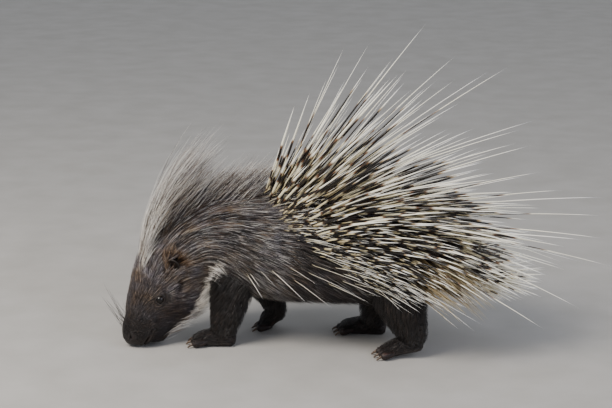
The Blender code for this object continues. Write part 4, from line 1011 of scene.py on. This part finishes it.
# The bristles in front of CREST_WHITE are mostly white, and fewer stand in front of CREST_LOOSE.
CREST_COUNT, CREST_STEPS, CREST_WHITE, CREST_LOOSE = 3000, 6, 11.36, 11.5
CREST_SIDE, CREST_FAN, CREST_HALF = 36, 0.32, 0.00056
crest_table = np.array(CREST_LIE, float)
place = rng.uniform(CREST_LIE[0][0], CREST_LIE[-1][0], CREST_COUNT)
crowded = (place > CREST_LOOSE) & (rng.random(CREST_COUNT) < 0.55)
place = np.where(crowded, rng.uniform(CREST_LIE[0][0], 11.4, CREST_COUNT), place)
angle = rng.uniform(-CREST_SIDE, CREST_SIDE, CREST_COUNT) * DEGREE
start, end, length = (np.interp(place, crest_table[:, 0], crest_table[:, k]) for k in (1, 2, 3))
# The bristles stand in loose wisps, each wisp with its own lean and length, dark gaps between them.
wisp = patchy(np.stack((place * 0.05, angle * 0.05, 0 * place), -1), 0.006, 2.0)
length = length * rng.uniform(0.42, 1.06, CREST_COUNT) * (1.0 - 0.25 * (angle / (CREST_SIDE * DEGREE)) ** 2)
length = length * (1.0 + 0.18 * wisp)
lean = rng.normal(0, 4.0, CREST_COUNT) + 7.0 * wisp
fan = -np.sin(angle) * CREST_FAN + rng.normal(0, 0.05, CREST_COUNT)
line = on_body(trunk, place, angle)
lines = [line - outward(trunk, place, angle) * 0.004]
for k in range(CREST_STEPS):
    lines.append(line)
    degrees = np.radians(start + (end - start) * (k + 0.5) / CREST_STEPS + lean)
    step = unit(np.stack((np.cos(degrees), fan, np.sin(degrees)), -1))
    line = line + step * (length / CREST_STEPS)[:, None]
lines.append(line)
lines = np.stack(lines, 1)
shares = np.linspace(0, 1, lines.shape[1])
taper = np.interp(shares[:-1], (0, 0.3, 1), (0.8, 1.0, 0.30))
wide = CREST_HALF * rng.uniform(0.6, 1.4, (CREST_COUNT, 1)) * taper
front = np.clip((place - CREST_WHITE) / 0.15, 0, 1)
white = rng.random(CREST_COUNT) < 0.20 + 0.50 * front
reach = np.where(white, rng.uniform(0.0, 0.30, CREST_COUNT), rng.uniform(0.6, 1.1, CREST_COUNT))
paleness = np.clip((shares[None] - reach[:, None]) / 0.25, 0, 1) * rng.uniform(0.65, 1.0, (CREST_COUNT, 1))
shade = np.clip(rng.normal(0.36, 0.2, (CREST_COUNT, 1)) + 0.2 * front[:, None], 0, 1)
data = strand_data(shares, shade, paleness)
patch = on_sheet("trunk", place, angle)
strand_piece("crest", lines, wide, wide * 0.6, ACROSS, data, patch, hair)

# Quills
# Hollow keratin spines as thick as a pencil lead or a straw, smooth and hard, banded cream and dark brown
# with long white tips. Each starts just under the hide, and they fan from steep over the shoulders to
# level at the rump. The table gives the root's x, the rise on the back and low on the flank, and the
# greatest length.
QUILL_LIE = (
    (-0.095, 76, 40, 0.230),
    (-0.060, 69, 28, 0.310),
    (-0.020, 59, 18, 0.370),
    (0.030, 46, 10, 0.370),
    (0.080, 33, 3, 0.340),
    (0.140, 20, -4, 0.310),
    (0.200, 9, -12, 0.290),
    (0.250, 0, -18, 0.270),
    (0.290, -9, -23, 0.250),
)
# Where the field of quills begins, at angles from the middle of the back, and where it ends low on the side.
QUILL_EDGE = ((0, -0.095), (30, -0.072), (60, -0.008), (72, 0.035), (90, 0.090), (112, 0.160), (125, 0.200))
QUILL_LOWEST = 112
# Most quills stay shorter than the longest there, most of all over the rump's top.
QUILL_REACH = ((-0.095, -0.02, 0.08, 0.17, 0.24, 0.30), (0.92, 0.98, 0.86, 0.84, 1.00, 1.05))
QUILL_FAN, FLANK_SHARE = 0.55, 0.55
QUILL_STEPS, QUILL_SIDES, QUILL_LAST, MAP_COLUMNS = 8, 5, 0.300, 280
LONG_DROOP, GUARD_DROOP = 0.06, 0.05
# The longest thin quills: root's x, angle round the body, rise in degrees, length.
LONG_QUILLS = (
    (-0.052, 4, 68, 0.330),
    (-0.040, -14, 64, 0.340),
    (-0.030, 12, 60, 0.300),
    (-0.012, -6, 56, 0.430),
    (0.000, 16, 54, 0.360),
    (0.012, -20, 47, 0.400),
    (0.022, 6, 40, 0.440),
    (0.034, -9, 38, 0.450),
    (0.052, 20, 33, 0.350),
    (0.060, 2, 26, 0.430),
    (0.085, 28, 20, 0.330),
    (0.130, -12, 22, 0.330),
    (0.175, 10, 20, 0.300),
    (0.215, -4, 9, 0.360),
    (0.235, 24, 5, 0.350),
    (0.240, -28, 3, 0.340),
    (0.262, 12, -5, 0.330),
    (0.262, 44, -13, 0.300),
    (0.262, -46, -14, 0.300),
    (0.236, 72, -17, 0.290),
    (0.236, -74, -17, 0.290),
)
# Thin pale guard quills low on the flank, on both sides.
GUARD_QUILLS = (
    (-0.095, 112, -46, 0.070),
    (-0.045, 100, -29, 0.110),
    (-0.005, 108, -22, 0.115),
    (0.023, 90, -5, 0.220),
    (0.062, 112, -10, 0.110),
    (0.113, 112, 0, 0.100),
    (0.149, 118, -18, 0.110),
    (0.187, 99, -14, 0.220),
    (0.221, 122, -26, 0.135),
)
place_samples = np.linspace(0.0, 12.0, 601)
x_samples = stations(trunk, place_samples)[:, 0] + FRAME_X


def place_of(x):
    """The places on the trunk whose centres have these x, given as in the tables."""
    return np.interp(-np.asarray(x, float), -x_samples, place_samples)


def quill_lines(x, angle, rise, length, droop, bend):
    """Middle lines of quills from under the skin to their tips; angles in degrees."""
    place, around = place_of(x), np.radians(angle)
    rise = np.radians(rise)
    aim = unit(np.stack((np.cos(rise), -np.sin(around) * QUILL_FAN, np.sin(rise)), -1))
    root = on_body(trunk, place, around, stations(trunk, place)[:, 7])
    lines = [on_body(trunk, place, around) - outward(trunk, place, around) * 0.003]
    for k in range(QUILL_STEPS):
        share = (k + 1) / QUILL_STEPS
        spot = root + aim * (length * share)[:, None]
        spot[:, 2] -= droop * length * share**2
        spot[:, 1] += bend * length * share**2
        lines.append(spot)
    return np.stack(lines, 1)


def quill_piece(name, x, angle, rise, length, droop, radius, kind, rng, slim=False):
    """One piece of quills: kind 0 is banded cream and brown, 1 mostly dark, 2 plain and pale, 3 ochre."""
    count = len(x)
    lines = quill_lines(x, angle, rise, length, droop, rng.normal(0, 0.012, count))
    shares = np.linspace(0, 1, lines.shape[1])
    taper = ((0, 0.12, 0.40, 0.62, 0.9), (0.55, 0.85, 1.0, 0.78, 0.22))
    if slim:
        taper = ((0, 0.15, 0.5, 0.9), (0.6, 1.0, 0.9, 0.35))
    wide = radius[:, None] * np.interp(shares[:-1], *taper)
    data = strand_data(shares, rng.random(count)[:, None], kind[:, None] * 0.5)
    # Each quill has its own strip of the map, so that its bands stay clear of the next one's.
    tall = 1.0 / math.ceil(count / MAP_COLUMNS)
    strip = np.arange(count)
    strip = np.stack((strip % MAP_COLUMNS / MAP_COLUMNS, strip // MAP_COLUMNS * tall), -1)
    size = (0.75 / MAP_COLUMNS, tall * 0.97)
    strand_piece(name, lines, wide, wide, ACROSS, data, strip, quill_finish, QUILL_SIDES, size)


# Quill: hard glossy keratin, ivory where it is hollow and clear, dark brown where it holds pigment, with fine
# lengthwise ridges a fifth of a millimetre apart, drawn coarser here.
quill_finish, tree, shader = new_material("banded quill keratin")
mark = add(tree, "ShaderNodeAttribute", {"attribute_name": "strand"})
parts = add(tree, "ShaderNodeSeparateXYZ", Vector=mark.outputs["Vector"]).outputs
where = add(tree, "ShaderNodeTexCoord").outputs["Object"]
stain = add(tree, "ShaderNodeTexNoise", Vector=where, Scale=60.0, Detail=3.0).outputs["Fac"]
shift = add(tree, "ShaderNodeMath", WEIGHTED_SUM, i0=parts["Y"], i1=0.17, i2=parts["X"]).outputs[0]
frayed = add(tree, "ShaderNodeMath", WEIGHTED_SUM, i0=stain, i1=0.05, i2=shift).outputs[0]
banded = [
    (0.03, "#8f8064"), (0.10, "#2a1d16"), (0.22, "#241914"), (0.25, "#6b4a30"), (0.28, "#e4d9b2"),
    (0.46, "#ece3c4"), (0.49, "#6f4b31"), (0.52, "#1f1612"), (0.62, "#1f1612"), (0.65, "#7b5a3e"),
    (0.68, "#f8f2dc"), (1.0, "#fffcf0"),
]
darker = [
    (0.05, "#2a1e18"), (0.30, "#1b1411"), (0.34, "#c9b88d"), (0.45, "#ddd0aa"), (0.49, "#3a281e"),
    (0.54, "#16110f"), (0.80, "#16110f"), (0.83, "#a58c68"), (0.87, "#f8f4e8"), (1.0, "#fdfbf4"),
]
plain = [(0.0, "#5d4a36"), (0.16, "#ddd0ac"), (0.5, "#f4eedb"), (1.0, "#fcfaf4")]
ochre = [(0.0, "#33271a"), (0.3, "#6e5938"), (0.8, "#9a855c"), (1.0, "#bdad86")]
colour = add(tree, "ShaderNodeValToRGB", stops=banded, Fac=frayed).outputs["Color"]
for border, stops in ((0.25, darker), (0.75, plain), (1.25, ochre)):
    beyond = add(tree, "ShaderNodeMath", ABOVE, i0=parts["Z"], i1=border).outputs[0]
    kind_colour = add(tree, "ShaderNodeValToRGB", stops=stops, Fac=frayed).outputs["Color"]
    colour = add(tree, "ShaderNodeMix", BLEND, Factor=beyond, i6=colour, i7=kind_colour).outputs[2]
tree.links.new(colour, shader.inputs["Base Color"])
ridges = add(tree, "ShaderNodeTexNoise", Vector=where, Scale=900.0, Detail=2.0).outputs["Fac"]
bump = add(tree, "ShaderNodeBump", Strength=0.2, Distance=0.0002, Height=ridges)
tree.links.new(bump.outputs["Normal"], shader.inputs["Normal"])
shader.inputs["Roughness"].default_value = 0.34
shader.inputs["Specular IOR Level"].default_value = 0.5

rng = np.random.default_rng(SEED + 1)
edge_table = np.array(QUILL_EDGE, float)
lie_table = np.array(QUILL_LIE, float)


def field_quills(rng, row_step, spacing, shortest, longest):
    """Roots, rise and length of quills spread over back, flanks and rump."""
    found = []
    x = QUILL_EDGE[0][1]
    while x < QUILL_LAST:
        here = stations(trunk, place_of(x))
        ring = here[4] + here[7]
        count = max(3, int(math.radians(QUILL_LOWEST) * ring / spacing))
        for k in range(-count, count + 1):
            angle = (k + rng.uniform(-0.45, 0.45)) * QUILL_LOWEST / count
            at = x + rng.uniform(-0.45, 0.45) * row_step
            front = np.interp(abs(angle), edge_table[:, 0], edge_table[:, 1])
            if at < front:
                continue
            top, low, length = (np.interp(at, lie_table[:, 0], lie_table[:, k]) for k in (1, 2, 3))
            share = min(abs(angle) / 100.0, 1.0)
            rise = top + (low - top) * share + rng.normal(0, 3.0)
            length *= 1.0 - FLANK_SHARE * share**1.5
            length *= shortest + (longest - shortest) * rng.random() ** 1.5
            length *= np.interp(at, *QUILL_REACH) * (0.75 + 0.25 * min((at - front) / 0.05, 1.0))
            found.append((at, angle, rise, length))
        x += row_step
    return np.array(found).T


def mostly_dark(x, angle):
    """How likely a quill is a mostly dark one: few in front, most on the back and low on the side."""
    low = np.clip((np.abs(angle) - 50) / 35, 0.0, 1.0) * np.interp(x, (0.14, 0.24), (0.40, 0.0))
    return np.interp(x, (-0.06, 0.03, 0.10, 0.22, 0.30), (0.34, 0.54, 0.70, 0.56, 0.40)) + low


x, angle, rise, length = field_quills(rng, 0.0190, 0.0200, 0.60, 0.98)
kind = (rng.random(len(x)) < mostly_dark(x, angle)).astype(float)
radius = rng.uniform(0.0015, 0.0035, len(x)) * np.interp(np.abs(angle), (50, 95), (1.0, 0.60))
quill_piece("quills_main", x, angle, rise, length, rng.uniform(0.01, 0.06, len(x)), radius, kind, rng)

# A lower layer of dark, thinner and shorter quills fills the gaps.
x, angle, rise, length = field_quills(rng, 0.0140, 0.0150, 0.30, 0.62)
kind = (rng.random(len(x)) < 0.95).astype(float)
radius = rng.uniform(0.0010, 0.0020, len(x))
quill_piece("quills_under", x, angle, rise, length, rng.uniform(0.02, 0.10, len(x)), radius, kind, rng)

# Short thin quills break up the field's front edge and show as pale dashes in the dark hair of the flank.
FLANK_QUILLS = 460
angle = rng.uniform(20, 124, FLANK_QUILLS) * rng.choice((-1, 1), FLANK_QUILLS)
x = np.interp(np.abs(angle), edge_table[:, 0], edge_table[:, 1]) - 0.03 + rng.gamma(2.0, 0.028, FLANK_QUILLS)
low = np.interp(x, lie_table[:, 0], lie_table[:, 2])
rise = np.interp(np.abs(angle), (40, 80, 118), (1.0, 0.35, 0.0)) * low
rise = rise - 8.0 * (np.abs(angle) > 95) + rng.normal(0, 5, len(x))
length = rng.uniform(0.035, 0.110, FLANK_QUILLS)
kind = np.where(rng.random(len(x)) < 0.70, 1.0, 2.0)
droop, radius = rng.uniform(0.04, 0.14, len(x)), rng.uniform(0.0004, 0.0009, len(x))
quill_piece("quills_flank", x, angle, rise, length, droop, radius, kind, rng, slim=True)

# Ochre bristles lie between the quills low on the rump.
RUMP_BRISTLES = 380
x = rng.uniform(0.215, 0.305, RUMP_BRISTLES)
angle = rng.uniform(62, 130, RUMP_BRISTLES) * rng.choice((-1, 1), RUMP_BRISTLES)
rise, length = rng.uniform(-28, -8, len(x)), rng.uniform(0.050, 0.130, len(x))
droop, radius = rng.uniform(0.05, 0.20, len(x)), rng.uniform(0.0004, 0.0008, len(x))
quill_piece("rump_bristles", x, angle, rise, length, droop, radius, 3.0 + 0 * x, rng, slim=True)


def with_neighbours(rows, times, spread, shortest, longest):
    """Each row of a table of quills and slightly different, shorter ones beside it."""
    rows = np.repeat(np.array(rows, float), times, axis=0)
    jitter = rng.normal(0, 1, rows.shape) * spread
    jitter[::times] = 0.0
    rows = rows + jitter
    rows[:, 3] *= np.where(np.arange(len(rows)) % times == 0, 1.0, rng.uniform(shortest, longest, len(rows)))
    return rows.T


x, angle, rise, length = with_neighbours(LONG_QUILLS, 3, (0.008, 7.0, 2.2, 0.0), 0.60, 0.95)
radius = rng.uniform(0.0010, 0.0015, len(x))
kind = np.where(rng.random(len(x)) < 0.6, 0.0, 2.0)
quill_piece("quills_long", x, angle, rise, length, LONG_DROOP, radius, kind, rng, slim=True)

rows = [(x, side * angle, rise, length) for x, angle, rise, length in GUARD_QUILLS for side in (1, -1)]
x, angle, rise, length = with_neighbours(rows, 2, (0.014, 7.0, 5.0, 0.0), 0.5, 0.95)
radius = rng.uniform(0.00030, 0.00055, len(x))
quill_piece("quills_guard", x, angle, rise, length, GUARD_DROOP, radius, 2.0 + 0 * x, rng, slim=True)

# Tail quills
# The short tail is hidden in thin pale quills and stubby rattle quills that point back from its skin.
TAIL_COUNT, TAIL_LENGTH, TAIL_SAG = 240, 0.085, 0.12
place = rng.uniform(0.1, 2.3, TAIL_COUNT)
around = rng.uniform(-math.pi, math.pi, TAIL_COUNT)
root = on_body(trunk, place, around, stations(trunk, place)[:, 7])
tilt = np.radians(rng.uniform(6, 24, TAIL_COUNT))
out = np.stack((np.zeros(TAIL_COUNT), -np.sin(around), np.cos(around)), -1)
aim = unit(np.stack((np.cos(tilt), 0 * tilt, -TAIL_SAG + 0 * tilt), -1) + out * np.sin(tilt)[:, None])
length = TAIL_LENGTH * rng.uniform(0.55, 1.0, TAIL_COUNT)
shares = np.linspace(0, 1, 6)
lines = root[:, None] + aim[:, None] * length[:, None, None] * shares[None, :, None]
lines[:, 0] -= out * 0.006
radius = rng.uniform(0.0008, 0.0017, TAIL_COUNT)
wide = radius[:, None] * np.interp(shares[:-1], (0, 0.2, 0.6, 1), (0.7, 1.0, 0.85, 0.3))
kind = np.where(rng.random(TAIL_COUNT) < 0.55, 1.0, 0.0)
data = strand_data(shares, rng.random((TAIL_COUNT, 1)), kind[:, None])
strip = np.stack((np.arange(TAIL_COUNT) / TAIL_COUNT, 0 * place), -1)
size = (0.7 / TAIL_COUNT, 0.97)
strand_piece("quills_tail", lines, wide, wide, ACROSS, data, strip, quill_finish, QUILL_SIDES, size)

# Whiskers
# Long black vibrissae grow in rows from the sides of the muzzle and sweep forwards, up and out in light
# curves. The five longest on each side have their set places; finer, shorter ones stand between them.
# The table gives place, angle, rise, turn outwards and length.
LONG_WHISKERS = (
    (16.7, 48, 66, 4, 0.084),
    (16.5, 66, 44, 16, 0.086),
    (16.2, 54, 58, 12, 0.092),
    (16.0, 74, 32, 34, 0.082),
    (15.5, 78, 24, 52, 0.070),
)
WHISKER_STEPS, WHISKER_CURL, WHISKER_TONE, FINE_WHISKERS = 7, 0.16, 0.15, 16
rng = np.random.default_rng(SEED + 2)
rows = []
for side in (1, -1):
    for place, angle, rise, turn, length in LONG_WHISKERS:
        rows.append((place, side * angle, rise, side * turn, length, 0.00042))
    for _ in range(FINE_WHISKERS):
        place, angle, rise, turn, length = LONG_WHISKERS[rng.integers(len(LONG_WHISKERS))]
        jitter = rng.normal(0, 1, 4) * (0.35, 8.0, 9.0, 8.0)
        spot = (place + jitter[0], side * (angle + jitter[1]))
        lie = (rise + jitter[2], side * (turn + abs(jitter[3])))
        rows.append((*spot, *lie, length * rng.uniform(0.45, 0.9), 0.00028))
place, angle, rise, turn, length, half = np.array(rows).T
angle = angle * DEGREE
heading = (TRUNK[16][3] + turn) * DEGREE
lift = rise * DEGREE
aim = np.stack((-np.cos(heading) * np.cos(lift), -np.sin(heading) * np.cos(lift), np.sin(lift)), -1)
shares = np.linspace(0, 1, WHISKER_STEPS + 1)
root = on_body(trunk, place, angle)
lines = root[:, None] + aim[:, None] * (length[:, None] * shares)[..., None]
lines[..., 2] += WHISKER_CURL * length[:, None] * shares**2
lines[:, 0] -= outward(trunk, place, angle) * 0.001
wide = half[:, None] * np.interp(shares[:-1], (0, 1), (1.0, 0.4))
data = strand_data(shares, np.full((len(rows), 1), WHISKER_TONE), 0.0)
patch = on_sheet("trunk", place, angle)
strand_piece("whiskers", lines, wide, wide, np.array(UP), data, patch, hair)

# Floor and light
# A plain pale floor, an even sky and two soft studio lamps, the larger from above and in front on the left.
bm = bmesh.new()
bmesh.ops.create_grid(bm, x_segments=1, y_segments=1, size=30.0)
floor = new_piece("floor", bm)
floor_finish, tree, shader = new_material("pale matt floor")
where = add(tree, "ShaderNodeTexCoord").outputs["Object"]
speck = add(tree, "ShaderNodeTexNoise", Vector=where, Scale=9.0, Detail=6.0)
greys = add(tree, "ShaderNodeValToRGB", stops=[(0.3, "#a3a09b"), (0.7, "#adaaa6")], Fac=speck.outputs["Fac"])
tree.links.new(greys.outputs["Color"], shader.inputs["Base Color"])
shader.inputs["Roughness"].default_value = 0.9
floor.data.materials.append(floor_finish)

world = bpy.data.worlds.new("studio")
world.use_nodes = True
world.node_tree.nodes["Background"].inputs["Color"].default_value = linear("#dfe4ec")
world.node_tree.nodes["Background"].inputs["Strength"].default_value = 0.70
bpy.context.scene.world = world


def soft_lamp(name, place, target, size, power, colour):
    """A square area light that faces a point."""
    data = bpy.data.lights.new(name, "AREA")
    data.size = size
    data.energy = power
    data.color = linear(colour)[:3]
    lamp = bpy.data.objects.new(name, data)
    bpy.context.scene.collection.objects.link(lamp)
    aim = Vector(target) - Vector(place)
    lamp.matrix_world = Matrix.Translation(place) @ aim.to_track_quat("-Z", "Y").to_matrix().to_4x4()


soft_lamp("key", (-1.6, -1.8, 2.6), (0, 0, 0.2), 1.6, 148.0, "#fff8ee")
soft_lamp("fill", (2.4, -1.6, 1.6), (0, 0, 0.2), 2.0, 38.0, "#e6ecff")
